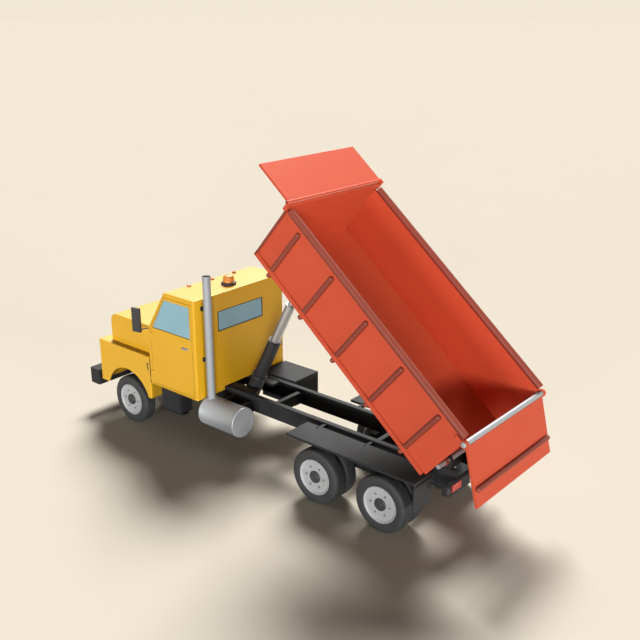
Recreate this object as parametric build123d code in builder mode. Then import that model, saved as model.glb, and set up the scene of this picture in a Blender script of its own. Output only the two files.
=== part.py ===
"""Dump truck: three axles, box cab, tilting hood, and a tipping bed shown raised.

Frame: +X forward, +Y to the truck's left, +Z up, ground at Z = 0, millimetres.
Lengths along the truck are given as distances behind the front axle, and
behind(distance) turns one into an X coordinate.
"""
from build123d import *
from math import atan2, cos, degrees, hypot, radians, sin
import os

os.makedirs("parts", exist_ok=True)

# ---------------------------------------------------------------- driving dimensions
front_axle_x = 3425.35        # front axle, ahead of the frame's origin
rear_axles = (4985.0, 6383.0)
touch_gap = 0.3              # between faces that meet but do not press
running_fit = 0.05           # radial clearance of a shaft in its bore
moving_gap = 8.0             # between bodies that move past each other

body_half_width = 1203.0     # cab, fenders and bumper
wall = 50.0                  # cab wall and door thickness
seam = 8.0                   # gap round a door

tyre_radius = 505.0
tyre_width = 265.0
tyre_shoulder = 45.0
rim_radius = 328.0
rim_lip = 30.0
wheel_face_y = body_half_width - 13     # outer face of the outer tyres
twin_gap = 45.0
tyre_tread_edge = 40.0       # how far the shoulder is cut back on the tread
disc_recess = 35.0
disc_thickness = 22.0
hub_radius = 112.0
hub_proud = 28.0             # how far the hub stands out of the disc
hub_end_wall = 15.0
spindle_radius = 42.0
steer_pivot_y = wheel_face_y - 360

rail_outer_y = 465.0
rail_flange = 95.0
rail_plate = 12.0
rail_bottom = 850.0
rail_top = 1170.0
rail_front = -1030.0
rail_rear = 7360.0

cab_front = 720.0
cab_rear = 2093.0
cab_bottom = 1079.0
cab_roof = 3079.0
cowl_top = 2237.0
roof_front = 1258.0

nose_front = -905.0
hood_front = -655.0
fender_rear = 700.0
fender_bottom = 735.0
fender_top = 1635.0
hood_half_width = body_half_width - 153
hood_top = 2222.0
hood_front_radius = 165.0
hood_sheet = 25.0
arch_radius = 680.0
arch_centre = (-30.0, 510.0)
hood_pivot = (-975.0, 950.0)

bed_pivot = (7190.0, 1310.0)
bed_raise = 40.1             # degrees that the bed is raised at rest
bed_length = 4590.0
bed_rear_gap = 50.0
side_rear_gap = 8.0
bed_half_width = 1197.0        # floor of the bed
bed_floor = 80.0
side_outer_y = bed_half_width - 27
side_sheet = 40.0
side_top = 1119.0
front_wall_top = 1250.0
front_wall_sheet = 45.0
top_rail_radius = 62.0
top_rail_height = 1165.0
rib_radius = 46.0
rib_low = 60.0
rib_high = 1030.0
rib_first = 530.0
rib_pitch = 904.0
rib_count = 5
bearer_radius = 45.0
bearer_depth = 50.0
shield_length = 812.0
shield_hinge = (bed_length + 28, front_wall_top + 20)
shield_half_width = bed_half_width + 8
shield_sheet = 40.0
gate_rod_place = (-20.0, side_top - 28)
gate_rod_radius = 45.0
gate_half_width = bed_half_width - 22
gate_rod_half = gate_half_width + 64
gate_length = 1027.0
gate_sheet = 40.0
gate_swing = 13.7            # degrees that the gate hangs outside the vertical

hoist_base = (2150.0, 550.0)
hoist_eye_place = (bed_length - 403, -190.0)
hoist_radii = (145.0, 122.0, 90.0, 62.0)   # barrel and its three stages
hoist_walls = (22.95, 31.95, 27.95)        # barrel and the two hollow stages
hoist_head = 75.9            # from the closed barrel's top to the eye's pin
hoist_step = 5.0             # each closed stage stands this much out of the one outside it
hoist_foot = 10.0            # and starts this much above the foot of the one outside it

tank_centre = (body_half_width - 273, 835.0)
tank_radius = 290.0
tank_front = 2100.0
tank_rear = 3030.0
stack_place = (2195.0, 945.0)
stack_radius = 77.0
stack_top = 3530.0


# ---------------------------------------------------------------- frames and helpers
def behind(distance):
    """X coordinate of a place given as its distance behind the front axle."""
    return front_axle_x - distance


def direction(angle):
    """Unit vector in the XZ plane, turned up from +X by an angle in degrees."""
    return Vector(cos(radians(angle)), 0, sin(radians(angle)))


def side_frame(origin, angle=0.0):
    """Plane facing the truck's right, its local x turned up from +X by an angle."""
    return Plane(origin=origin, x_dir=direction(angle), z_dir=(0, -1, 0))


def shifted(frame, y):
    """The same side frame, moved to a place across the truck."""
    return Plane(origin=frame.origin + Vector(0, y, 0), x_dir=frame.x_dir, z_dir=frame.z_dir)


def slab(frame, u, v, y, mode=Mode.ADD):
    """Box between pairs of places: u and v in a side frame, y across the truck."""
    with BuildSketch(shifted(frame, max(y))) as profile:
        with Locations(((u[0] + u[1]) / 2, (v[0] + v[1]) / 2)):
            Rectangle(abs(u[1] - u[0]), abs(v[1] - v[0]))
    extrude(profile.sketch, amount=abs(y[1] - y[0]), mode=mode)


def sheet_profile(frame, points, y, mode=Mode.ADD):
    """Polygon of side-frame points, extruded between two places across the truck."""
    with BuildSketch(shifted(frame, max(y))) as profile:
        with BuildLine():
            Polyline(points, close=True)
        make_face()
    extrude(profile.sketch, amount=abs(y[1] - y[0]), mode=mode)


def cross_bar(frame, u, v, y, radius, mode=Mode.ADD):
    """Round bar across the truck between two y places, at a side-frame point."""
    with BuildSketch(shifted(frame, max(y))) as profile:
        with Locations((u, v)):
            Circle(radius)
    extrude(profile.sketch, amount=abs(y[1] - y[0]), mode=mode)


def round_bar(start, end, radius, mode=Mode.ADD):
    """Round bar from one point to another."""
    run = Vector(*end) - Vector(*start)
    with BuildSketch(Plane(origin=start, z_dir=run)) as profile:
        Circle(radius)
    extrude(profile.sketch, amount=run.length, mode=mode)


def capsule_end(centre, radius, mode=Mode.ADD):
    """Ball that rounds off the end of a bar."""
    with Locations(centre):
        Sphere(radius, mode=mode)


def both_sides(y_inner, y_outer):
    """The left and the right pair of y places of a mirrored piece."""
    return ((y_inner, y_outer), (-y_outer, -y_inner))


def save(builder, label):
    """Label a finished piece and write its STEP file."""
    builder.part.label = label
    export_step(builder.part, f"parts/{label}.step")


level = side_frame((front_axle_x, 0, 0), 0)


def lengthwise(places):
    """Side-frame u places of distances behind the front axle."""
    return tuple(-place for place in places)


def block(x, z, y, mode=Mode.ADD):
    """Level box: x behind the front axle, z above the ground, y across."""
    slab(level, lengthwise(x), z, y, mode)


def outline(points):
    """Side-frame points of (distance behind the front axle, height) pairs."""
    return [(-x, z) for x, z in points]


bed_frame = side_frame((behind(bed_pivot[0]), 0, bed_pivot[1]), bed_raise)


def bed_point(along, across, height):
    """World point of a place in the bed: along the floor, across, above its underside."""
    forward = direction(bed_raise)
    upward = direction(bed_raise + 90)
    return bed_frame.origin + forward * along + upward * height + Vector(0, across, 0)


# ---------------------------------------------------------------- chassis
# Places behind the front axle where a crossmember joins the two rails.
crossmember_places = (-760.0, 1850.0, 3300.0, 5684.0, 6950.0)
crossmember_length = 90.0
crossmember_low = 40.0       # its underside above the rails' underside
crossmember_drop = 60.0      # its top below the rails' top
rail_inner_y = rail_outer_y - rail_flange
web_y = rail_outer_y - rail_plate
hood_pin_radius = 15.0
hood_arm_y = (485.0, 535.0)
pivot_shaft_radius = 40.0
pivot_shaft_half = 733.0
hinge_radius = 58.0          # round ends of the ears and lugs on the bed's pivot shaft
ear_y = (385.0, 450.0)

with BuildPart() as frame_rails:
    for y in both_sides(rail_inner_y, rail_outer_y):
        block((rail_front, rail_rear), (rail_bottom, rail_top), y)
    for y in both_sides(rail_inner_y - 1, web_y):
        block((rail_front - 1, rail_rear + 1), (rail_bottom + rail_plate, rail_top - rail_plate), y,
              Mode.SUBTRACT)
    for y in both_sides(rail_outer_y, hood_arm_y[1] + 10):
        cross_bar(level, -hood_pivot[0], hood_pivot[1], y, hood_pin_radius)
    for y in both_sides(*ear_y):
        cross_bar(level, -bed_pivot[0], bed_pivot[1], y, hinge_radius)
        block((bed_pivot[0] - hinge_radius, bed_pivot[0] + hinge_radius), (rail_top, bed_pivot[1]), y)
        cross_bar(level, -bed_pivot[0], bed_pivot[1], y, pivot_shaft_radius + running_fit, Mode.SUBTRACT)
save(frame_rails, "frame_rails")

with BuildPart() as frame_crossmembers:
    for place in crossmember_places:
        x = (place - crossmember_length / 2, place + crossmember_length / 2)
        block(x, (rail_bottom + crossmember_low, rail_top - crossmember_drop), (-web_y, web_y))
save(frame_crossmembers, "frame_crossmembers")

with BuildPart() as bed_pivot_shaft:
    cross_bar(level, -bed_pivot[0], bed_pivot[1], (-pivot_shaft_half, pivot_shaft_half),
              pivot_shaft_radius)
save(bed_pivot_shaft, "bed_pivot_shaft")

bumper_depth = 290.0
bumper_z = (550.0, 882.0)
bumper_bracket_y = (385.0, 450.0)
bumper_bracket_length = 230.0
with BuildPart() as front_bumper:
    block((rail_front - bumper_depth, rail_front), bumper_z, (-body_half_width, body_half_width))
    fillet(front_bumper.edges().filter_by(Axis.Z), 25)
    for y in both_sides(*bumper_bracket_y):
        block((rail_front, rail_front + bumper_bracket_length), (bumper_z[0] + 150, rail_bottom), y)
save(front_bumper, "front_bumper")

rear_bar_x = (rail_rear, rail_rear + 80)
rear_bar_z = (860.0, 1060.0)
rear_bar_half = 740.0
lamp_z = (920.0, 1045.0)
lamp_y = (440.0, 705.0)
lamp_depth = 25.0            # of the pockets that the red lenses fill
lamp_box_y = (rear_bar_half, 870.0)
with BuildPart() as rear_crossmember:
    block(rear_bar_x, rear_bar_z, (-rear_bar_half, rear_bar_half))
    for y in both_sides(*lamp_box_y):
        block((rear_bar_x[0] + 5, rear_bar_x[1]), lamp_z, y)
    for y in both_sides(lamp_y[0] - touch_gap, lamp_y[1] + touch_gap):
        block((rear_bar_x[1] - lamp_depth, rear_bar_x[1] + 1), (lamp_z[0] - touch_gap, lamp_z[1] + touch_gap), y,
              Mode.SUBTRACT)
save(rear_crossmember, "rear_crossmember")

with BuildPart() as tail_lamps:
    for y in both_sides(*lamp_y):
        block((rear_bar_x[1] - lamp_depth, rear_bar_x[1]), lamp_z, y)
save(tail_lamps, "tail_lamps")

# Saddle between the rails: two cheeks with bores for the hoist's trunnion pins.
cheek_y = (185.0, 235.0)
cheek_radius = 95.0
trunnion_radius = 40.0
cradle_x = (2000.0, 2300.0)
cradle_deck_x = (2000.0, 2740.0)
cradle_deck = 70.0
with BuildPart() as hoist_cradle:
    for y in both_sides(*cheek_y):
        block(cradle_x, (hoist_base[1], rail_top - rail_plate), y)
        cross_bar(level, -hoist_base[0], hoist_base[1], y, cheek_radius)
        cross_bar(level, -hoist_base[0], hoist_base[1], y, trunnion_radius + running_fit, Mode.SUBTRACT)
    for y in both_sides(cheek_y[0], web_y):
        block(cradle_deck_x, (rail_top - cradle_deck, rail_top - rail_plate), y)
    for y in both_sides(cheek_y[1], web_y):
        block(cradle_x, (rail_bottom + rail_plate, rail_bottom + cradle_deck), y)
save(hoist_cradle, "hoist_cradle")

# The engine's upper part rests on the rails, and its gearbox runs back under the cab.
engine_x = (-330.0, 650.0)
engine_half = 330.0
engine_z = (620.0, 1760.0)
engine_foot_half = 425.0
radiator_x = (-570.0, -500.0)
radiator_half = 520.0
radiator_top = 2000.0
with BuildPart() as engine:
    block(engine_x, engine_z, (-engine_half, engine_half))
    block((engine_x[0] + 150, engine_x[1] - 150), (rail_top, rail_top + 90), (-engine_foot_half, engine_foot_half))
    block(radiator_x, (rail_top, radiator_top), (-radiator_half, radiator_half))
save(engine, "engine")

axle_height = tyre_radius
shaft_y = -310.0
shaft_radius = 42.0
gearbox_x = (engine_x[1], 1680.0)
gearbox_half = 240.0
gearbox_z = (640.0, 1040.0)
output_x = (1400.0, gearbox_x[1])
output_radius = 85.0
diff_radius = 190.0
diff_nose = 270.0
diff_nose_radius = 75.0
with BuildPart() as driveline:
    block(gearbox_x, gearbox_z, (-gearbox_half, gearbox_half))
    block(output_x, (axle_height - output_radius, gearbox_z[0] + 90),
          (shaft_y - output_radius / 2, shaft_y + output_radius + 60))
    shaft_ends = (output_x[1],) + tuple(place + diff_nose for place in rear_axles[:-1])
    for start, place in zip(shaft_ends, rear_axles):
        round_bar((behind(start), shaft_y, axle_height),
                  (behind(place - diff_nose), shaft_y, axle_height), shaft_radius)
save(driveline, "driveline")

# ---------------------------------------------------------------- axles and springs
rear_tyre_inner_y = wheel_face_y - 2 * tyre_width - twin_gap
axle_tube_radius = 70.0
axle_tube_half = rear_tyre_inner_y - 15
spindle_end_y = wheel_face_y - disc_recess
spring_seat_y = (485.0, 575.0)
spring_seat_half = 65.0
spring_seat_top = 600.0
with BuildPart() as rear_axles_part:
    for place in rear_axles:
        cross_bar(level, -place, axle_height, (-axle_tube_half, axle_tube_half), axle_tube_radius)
        cross_bar(level, -place, axle_height, (-spindle_end_y, spindle_end_y), spindle_radius)
        capsule_end((behind(place), shaft_y, axle_height), diff_radius)
        nose_ends = [place - diff_nose]
        if place != rear_axles[-1]:
            nose_ends.append(place + diff_nose)
        for end in nose_ends:
            round_bar((behind(place), shaft_y, axle_height), (behind(end), shaft_y, axle_height),
                      diff_nose_radius)
        for y in both_sides(*spring_seat_y):
            block((place - spring_seat_half, place + spring_seat_half),
                  (axle_height - axle_tube_radius, spring_seat_top), y)
save(rear_axles_part, "rear_axles")

beam_half_x = 42.0
beam_z = (455.0, 545.0)
king_pin_radius = 20.0
king_boss_radius = 45.0
knuckle_gap = 0.5
knuckle_lug = 48.0
with BuildPart() as front_axle:
    block((-beam_half_x, beam_half_x), beam_z, (-steer_pivot_y, steer_pivot_y))
    for side in (1, -1):
        foot = (front_axle_x, side * steer_pivot_y, beam_z[0])
        round_bar(foot, (front_axle_x, side * steer_pivot_y, beam_z[1]), king_boss_radius)
        round_bar(foot, (front_axle_x, side * steer_pivot_y, beam_z[1]), king_pin_radius + running_fit,
                  Mode.SUBTRACT)
save(front_axle, "front_axle")

# Leaf packs: (half length, height) of each leaf from the axle up.
front_leaves = ((290.0, 18.0), (440.0, 18.0), (660.0, 20.0))
front_spring_y = (385.0, 450.0)
front_hanger = (600.0, 660.0)
rear_spring_y = (490.0, 570.0)
rear_leaf = 42.0
rear_short_leaf = (420.0, 50.0)
hanger_half = 85.0
tandem_centre = sum(rear_axles) / 2
with BuildPart() as springs:
    for y in both_sides(*front_spring_y):
        leaf_z = beam_z[1]
        for half_length, height in front_leaves:
            block((-half_length, half_length), (leaf_z, leaf_z + height), y)
            leaf_z += height
        for x in (front_hanger, (-front_hanger[1], -front_hanger[0])):
            block(x, (leaf_z, rail_bottom), y)
    long_leaf_top = spring_seat_top + rear_leaf
    short_leaf_top = long_leaf_top + rear_short_leaf[1]
    for y in both_sides(*rear_spring_y):
        block((rear_axles[0] - 90, rear_axles[1] + 90), (spring_seat_top, long_leaf_top), y)
        block((tandem_centre - rear_short_leaf[0], tandem_centre + rear_short_leaf[0]),
              (long_leaf_top, short_leaf_top), y)
    for y in both_sides(rail_inner_y + 30, rear_spring_y[1]):
        block((tandem_centre - hanger_half, tandem_centre + hanger_half), (short_leaf_top, rail_bottom), y)
save(springs, "springs")

# ---------------------------------------------------------------- things hung on the rails
with BuildPart() as air_tank:
    round_bar((behind(tank_front), tank_centre[0], tank_centre[1]),
              (behind(tank_rear), tank_centre[0], tank_centre[1]), tank_radius)
    fillet(air_tank.edges().filter_by(GeomType.CIRCLE), 18)
save(air_tank, "air_tank")

saddle_places = (2330.0, 2800.0)
saddle_half = 35.0
side_box_x = (2150.0, 3050.0)
side_box_y = (-body_half_width + 3, -500.0)
side_box_z = (670.0, 1200.0)
step_x = (1040.0, 1540.0)
step_y = (880.0, body_half_width - 3)
step_bottom = 635.0
arm_z = (930.0, 1000.0)
with BuildPart() as side_boxes:
    block(side_box_x, side_box_z, side_box_y)
    fillet(side_boxes.edges(), 8)
    for place in (side_box_x[0] + 150, side_box_x[1] - 210):
        block((place, place + 60), arm_z, (side_box_y[1], -rail_outer_y))
    for y in both_sides(*step_y):
        block(step_x, (step_bottom, cab_bottom), y)
    for y in both_sides(rail_outer_y, step_y[0]):
        block((step_x[0] + 200, step_x[0] + 270), arm_z, y)
save(side_boxes, "side_boxes")

with BuildPart() as tank_saddles:
    for place in saddle_places:
        block((place - saddle_half, place + saddle_half),
              (tank_centre[1] - tank_radius * 0.75, tank_centre[1] + tank_radius * 0.75),
              (rail_outer_y, tank_centre[0]))
    round_bar((behind(tank_front), tank_centre[0], tank_centre[1]),
              (behind(tank_rear), tank_centre[0], tank_centre[1]), tank_radius + touch_gap, Mode.SUBTRACT)
save(tank_saddles, "tank_saddles")

stack_wall = 5.0
stack_mouth = 400.0
with BuildPart() as exhaust_stack:
    foot = (behind(stack_place[0]), stack_place[1], tank_centre[1])
    mouth = (behind(stack_place[0]), stack_place[1], stack_top)
    round_bar(foot, mouth, stack_radius)
    round_bar((mouth[0], mouth[1], stack_top - stack_mouth), mouth, stack_radius - stack_wall, Mode.SUBTRACT)
    round_bar((behind(tank_front - 100), tank_centre[0], tank_centre[1]),
              (behind(tank_rear), tank_centre[0], tank_centre[1]), tank_radius + touch_gap, Mode.SUBTRACT)
save(exhaust_stack, "exhaust_stack")

clamp_heights = (1890.0, 2900.0)
clamp_height = 45.0
clamp_half = 60.0
clamp_reach = 20.0
clamp_foot = 35.0
clamp_foot_height = 75.0
clamp_foot_half = 90.0
with BuildPart() as stack_clamps:
    for height in clamp_heights:
        foot_z = (height - clamp_foot_height / 2, height + clamp_foot_height / 2)
        arm_z = (height - clamp_height / 2, height + clamp_height / 2)
        foot_y = (stack_place[1] - clamp_foot_half, stack_place[1] + clamp_foot_half)
        arm_y = (stack_place[1] - clamp_half, stack_place[1] + clamp_half)
        block((cab_rear, cab_rear + clamp_foot), foot_z, foot_y)
        block((cab_rear, stack_place[0] - clamp_reach), arm_z, arm_y)
    round_bar((behind(stack_place[0]), stack_place[1], clamp_heights[0] - clamp_foot_height),
              (behind(stack_place[0]), stack_place[1], clamp_heights[1] + clamp_foot_height),
              stack_radius + touch_gap, Mode.SUBTRACT)
save(stack_clamps, "stack_clamps")

rear_fender_x = (4350.0, 7050.0)
rear_fender_y = (620.0, body_half_width - 3)
rear_fender_top = 1160.0
fender_sheet = 14.0
fender_lip = 45.0
fender_arm_places = (4640.0, 5684.0, 6760.0)
with BuildPart() as rear_fenders:
    for y in both_sides(*rear_fender_y):
        block(rear_fender_x, (rear_fender_top - fender_lip, rear_fender_top), y)
    for y in both_sides(rear_fender_y[0] + fender_sheet, rear_fender_y[1] - fender_sheet):
        block((rear_fender_x[0] + fender_sheet, rear_fender_x[1] - fender_sheet),
              (rear_fender_top - fender_lip, rear_fender_top - fender_sheet), y, Mode.SUBTRACT)
    for place in fender_arm_places:
        for y in both_sides(rail_outer_y, rear_fender_y[0] + fender_sheet):
            block((place - 30, place + 30), (rear_fender_top - 75, rear_fender_top - fender_sheet), y)
save(rear_fenders, "rear_fenders")

flap_y = (720.0, rear_fender_y[1])
flap_bottom = 640.0
flap_sheet = 12.0
with BuildPart() as mud_flaps:
    for y in both_sides(*flap_y):
        block((rear_fender_x[1], rear_fender_x[1] + flap_sheet), (flap_bottom, rear_fender_top - 5), y)
save(mud_flaps, "mud_flaps")

# ---------------------------------------------------------------- cab
cab_floor = rail_top + wall
cab_tunnel_half = 490.0
cab_outline = outline([
    (cab_front, cab_bottom), (cab_front, cowl_top), (roof_front, cab_roof),
    (cab_rear, cab_roof), (cab_rear, cab_bottom)])
pillar_angle = degrees(atan2(cab_roof - cowl_top, cab_front - roof_front))
pillar_length = hypot(cab_roof - cowl_top, roof_front - cab_front)
screen_frame = side_frame((behind(cab_front), 0, cowl_top), pillar_angle)
screen_u = (95.0, pillar_length - 70)
screen_half = body_half_width - 118
rear_window_z = (2339.0, 2727.0)
rear_window_half = 599.0
glass_sheet = 8.0
door_x = (810.0, 2005.0)
door_z = (1125.0, 2990.0)
door_shoulder = 2300.0
door_slant_top = 1251.0
window_points = ((858.0, 2299.0), (1245.0, 2933.0), (1958.0, 2933.0), (1958.0, 2299.0))
hinge_leaf = 9.0
door_hinge_radius = 12.0
door_hinge_y = body_half_width + door_hinge_radius + touch_gap
door_hinge_heights = (1300.0, 2100.0)
door_hinge_height = 90.0


def door_outline(inset):
    """Door's side outline, drawn in on every side by an inset."""
    slant = radians(degrees(atan2(door_z[1] - door_shoulder, door_slant_top - door_x[0])))
    shift = inset / sin(slant)
    rise = inset / cos(slant)
    return outline([
        (door_x[0] + inset, door_z[0] + inset),
        (door_x[0] + inset, door_shoulder - rise + inset * (door_z[1] - door_shoulder)
         / (door_slant_top - door_x[0])),
        (door_slant_top + shift - inset * (door_slant_top - door_x[0]) / (door_z[1] - door_shoulder),
         door_z[1] - inset),
        (door_x[1] - inset, door_z[1] - inset),
        (door_x[1] - inset, door_z[0] + inset)])


with BuildPart() as cab_shell:
    sheet_profile(level, cab_outline, (-body_half_width, body_half_width))
    fillet(cab_shell.edges(), 22)
    with BuildSketch(shifted(level, body_half_width - wall)) as cavity:
        with BuildLine():
            Polyline(cab_outline, close=True)
        make_face()
        offset(amount=-wall, kind=Kind.INTERSECTION)
    extrude(cavity.sketch, amount=2 * (body_half_width - wall), mode=Mode.SUBTRACT)
    block((cab_front + 1, cab_rear - 1), (rail_top, cab_floor),
          (-body_half_width + 1, body_half_width - 1))
    block((cab_front + wall, cab_rear - wall), (cab_bottom - 1, rail_top),
          (-body_half_width + wall, body_half_width - wall), Mode.SUBTRACT)
    block((cab_front - 1, cab_rear + 1), (cab_bottom - 1, rail_top), (-cab_tunnel_half, cab_tunnel_half),
          Mode.SUBTRACT)
    for y in both_sides(body_half_width - wall, body_half_width + 1):
        sheet_profile(level, door_outline(0), y, Mode.SUBTRACT)
    slab(screen_frame, screen_u, (-30, wall + 30), (-screen_half, screen_half), Mode.SUBTRACT)
    block((cab_rear - wall - 1, cab_rear + 1), rear_window_z, (-rear_window_half, rear_window_half),
          Mode.SUBTRACT)
    for y in both_sides(body_half_width, body_half_width + hinge_leaf):
        for height in door_hinge_heights:
            block((door_x[0] - 60, door_x[0] - door_hinge_radius - touch_gap),
                  (height, height + door_hinge_height), y)
save(cab_shell, "cab_shell")

with BuildPart() as cab_glass:
    slab(screen_frame, (screen_u[0] + touch_gap, screen_u[1] - touch_gap), (14, 14 + glass_sheet),
         (-screen_half + touch_gap, screen_half - touch_gap))
    block((cab_rear - 14 - glass_sheet, cab_rear - 14),
          (rear_window_z[0] + touch_gap, rear_window_z[1] - touch_gap),
          (-rear_window_half + touch_gap, rear_window_half - touch_gap))
save(cab_glass, "cab_glass")


def make_door(label, side):
    """Door slab with its window opening and hinge barrels, and its glass."""
    inner, outer = sorted((side * (body_half_width - wall), side * body_half_width))
    with BuildPart() as door:
        sheet_profile(level, door_outline(seam), (inner, outer))
        sheet_profile(level, outline(window_points), (inner - 1, outer + 1), Mode.SUBTRACT)
        for height in door_hinge_heights:
            barrel_x = behind(door_x[0])
            round_bar((barrel_x, side * door_hinge_y, height),
                      (barrel_x, side * door_hinge_y, height + door_hinge_height), door_hinge_radius)
            leaf_y = sorted((side * body_half_width, side * (body_half_width + hinge_leaf)))
            block((door_x[0] + seam, door_x[0] + 70), (height, height + door_hinge_height), leaf_y)
            strap_y = sorted((side * (body_half_width + 2), side * (body_half_width + hinge_leaf)))
            block((door_x[0], door_x[0] + seam + 5), (height, height + door_hinge_height), strap_y)
    save(door, label)
    glass_y = sorted(side * (body_half_width - depth) for depth in (18, 18 + glass_sheet))
    with BuildPart() as glass:
        with BuildSketch(shifted(level, glass_y[1])) as pane:
            with BuildLine():
                Polyline(outline(window_points), close=True)
            make_face()
            offset(amount=-touch_gap, kind=Kind.INTERSECTION)
        extrude(pane.sketch, amount=glass_sheet)
    save(glass, label + "_glass")


make_door("left_door", 1)
make_door("right_door", -1)

seat_y = (300.0, 800.0)
seat_rear = cab_rear - 173
seat_length = 490.0
seat_height = 420.0
back_foot = 140.0            # thickness of the backrest at the cushion and at its top
back_top = 100.0
back_height = 700.0
back_lean = 40.0
with BuildPart() as seats:
    cushion_top = cab_floor + seat_height
    for y in both_sides(*seat_y):
        block((seat_rear - seat_length, seat_rear), (cab_floor, cushion_top), y)
        sheet_profile(level, outline([
            (seat_rear - back_foot, cushion_top),
            (seat_rear + back_lean - back_top, cushion_top + back_height),
            (seat_rear + back_lean, cushion_top + back_height), (seat_rear, cushion_top)]), y)
    fillet(seats.edges().filter_by(Axis.Y), 25)
save(seats, "seats")

dash_rear = 1010.0
dash_z = (1760.0, 2120.0)
dash_half = body_half_width - 113
dash_edge = 40.0
wheel_y = 550.0
column_start = (behind(dash_rear - dash_edge), wheel_y, 1930.0)
column_reach = 180.0         # steering column's length along the truck, behind the dashboard
column_end = (behind(dash_rear + column_reach), wheel_y, 2050.0)
column_radius = 26.0
ring_radius = 215.0
ring_half = 16.0             # half the width of the steering wheel's rim
spoke_half = 14.0
with BuildPart() as dashboard:
    block((cab_front + wall, dash_rear), dash_z, (-dash_half, dash_half))
    fillet(dashboard.edges().filter_by(Axis.Y).sort_by(Axis.X)[:2], dash_edge)
    round_bar(column_start, column_end, column_radius)
    column_axis = Vector(*column_end) - Vector(*column_start)
    with BuildSketch(Plane(origin=column_end, z_dir=column_axis)) as ring_sketch:
        Circle(ring_radius + ring_half)
        Circle(ring_radius - ring_half, mode=Mode.SUBTRACT)
        Rectangle(2 * spoke_half, 2 * ring_radius)
        Rectangle(2 * ring_radius, 2 * spoke_half)
    extrude(ring_sketch.sketch, amount=column_radius)
save(dashboard, "dashboard")

beacon_x = 1790.0
beacon_base_radius = 150.0
beacon_base_height = 50.0
beacon_lens_radius = 112.0
beacon_lens_height = 130.0
with BuildPart() as beacon_base:
    round_bar((behind(beacon_x), 0, cab_roof), (behind(beacon_x), 0, cab_roof + beacon_base_height),
              beacon_base_radius)
    fillet(beacon_base.edges().group_by(Axis.Z)[-1], 12)
save(beacon_base, "beacon_base")

with BuildPart() as beacon_lens:
    lens_bottom = cab_roof + beacon_base_height
    round_bar((behind(beacon_x), 0, lens_bottom), (behind(beacon_x), 0, lens_bottom + beacon_lens_height),
              beacon_lens_radius)
    fillet(beacon_lens.edges().group_by(Axis.Z)[-1], 45)
save(beacon_lens, "beacon_lens")

roof_lamp_x = (1290.0, 1350.0)
roof_lamp_places = (-605.0, 0.0, 605.0)
roof_lamp_half = 50.0
roof_lamp_height = 38.0
with BuildPart() as roof_lamps:
    for place in roof_lamp_places:
        block(roof_lamp_x, (cab_roof, cab_roof + roof_lamp_height),
              (place - roof_lamp_half, place + roof_lamp_half))
    fillet(roof_lamps.edges().filter_by(Axis.Y).group_by(Axis.Z)[-1], 15)
save(roof_lamps, "roof_lamps")

mirror_centre = (565.0, 1333.0, 2420.0)
mirror_size = (190.0, 50.0, 490.0)
mirror_turn = 12.0
mirror_arm_root = (768.0, body_half_width - 20, 2262.0)
mirror_arm_end = (650.0, 1318.0, 2235.0)
mirror_arm_radius = 12.0
with BuildPart() as mirrors:
    for side in (1, -1):
        place = Location((behind(mirror_centre[0]), side * mirror_centre[1], mirror_centre[2]),
                         (0, 0, side * mirror_turn))
        with Locations(place):
            Box(*mirror_size)
        round_bar((behind(mirror_arm_root[0]), side * mirror_arm_root[1], mirror_arm_root[2]),
                  (behind(mirror_arm_end[0]), side * mirror_arm_end[1], mirror_arm_end[2]),
                  mirror_arm_radius)
    block((cab_front, cab_rear), (mirror_arm_root[2] - 60, mirror_arm_root[2] + 60),
          (-body_half_width, body_half_width), Mode.SUBTRACT)
save(mirrors, "mirrors")

# ---------------------------------------------------------------- hood and fenders, one tilting unit
rail_notch_half = 500.0
rail_notch_top = 1262.0
splash_half = 550.0
grille_half = 600.0
lower_grille_z = (1300.0, 1560.0)
upper_grille_z = (1720.0, 2000.0)
hood_arm_radius = 27.0


def hood_profile(inset, half_width, mode=Mode.ADD):
    """Hood above the fenders with its rounded front edge, drawn in by an inset."""
    with BuildSketch(shifted(level, half_width)) as profile:
        with BuildLine():
            Polyline(outline([
                (hood_front + inset, fender_top - 2 * inset), (hood_front + inset, hood_top - inset),
                (fender_rear + inset, hood_top - inset), (fender_rear + inset, fender_top - 2 * inset)]),
                close=True)
        make_face()
        fillet(profile.vertices().group_by(Axis.Y)[-1].sort_by(Axis.X)[-1], hood_front_radius - inset)
    extrude(profile.sketch, amount=2 * half_width, mode=mode)


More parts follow.
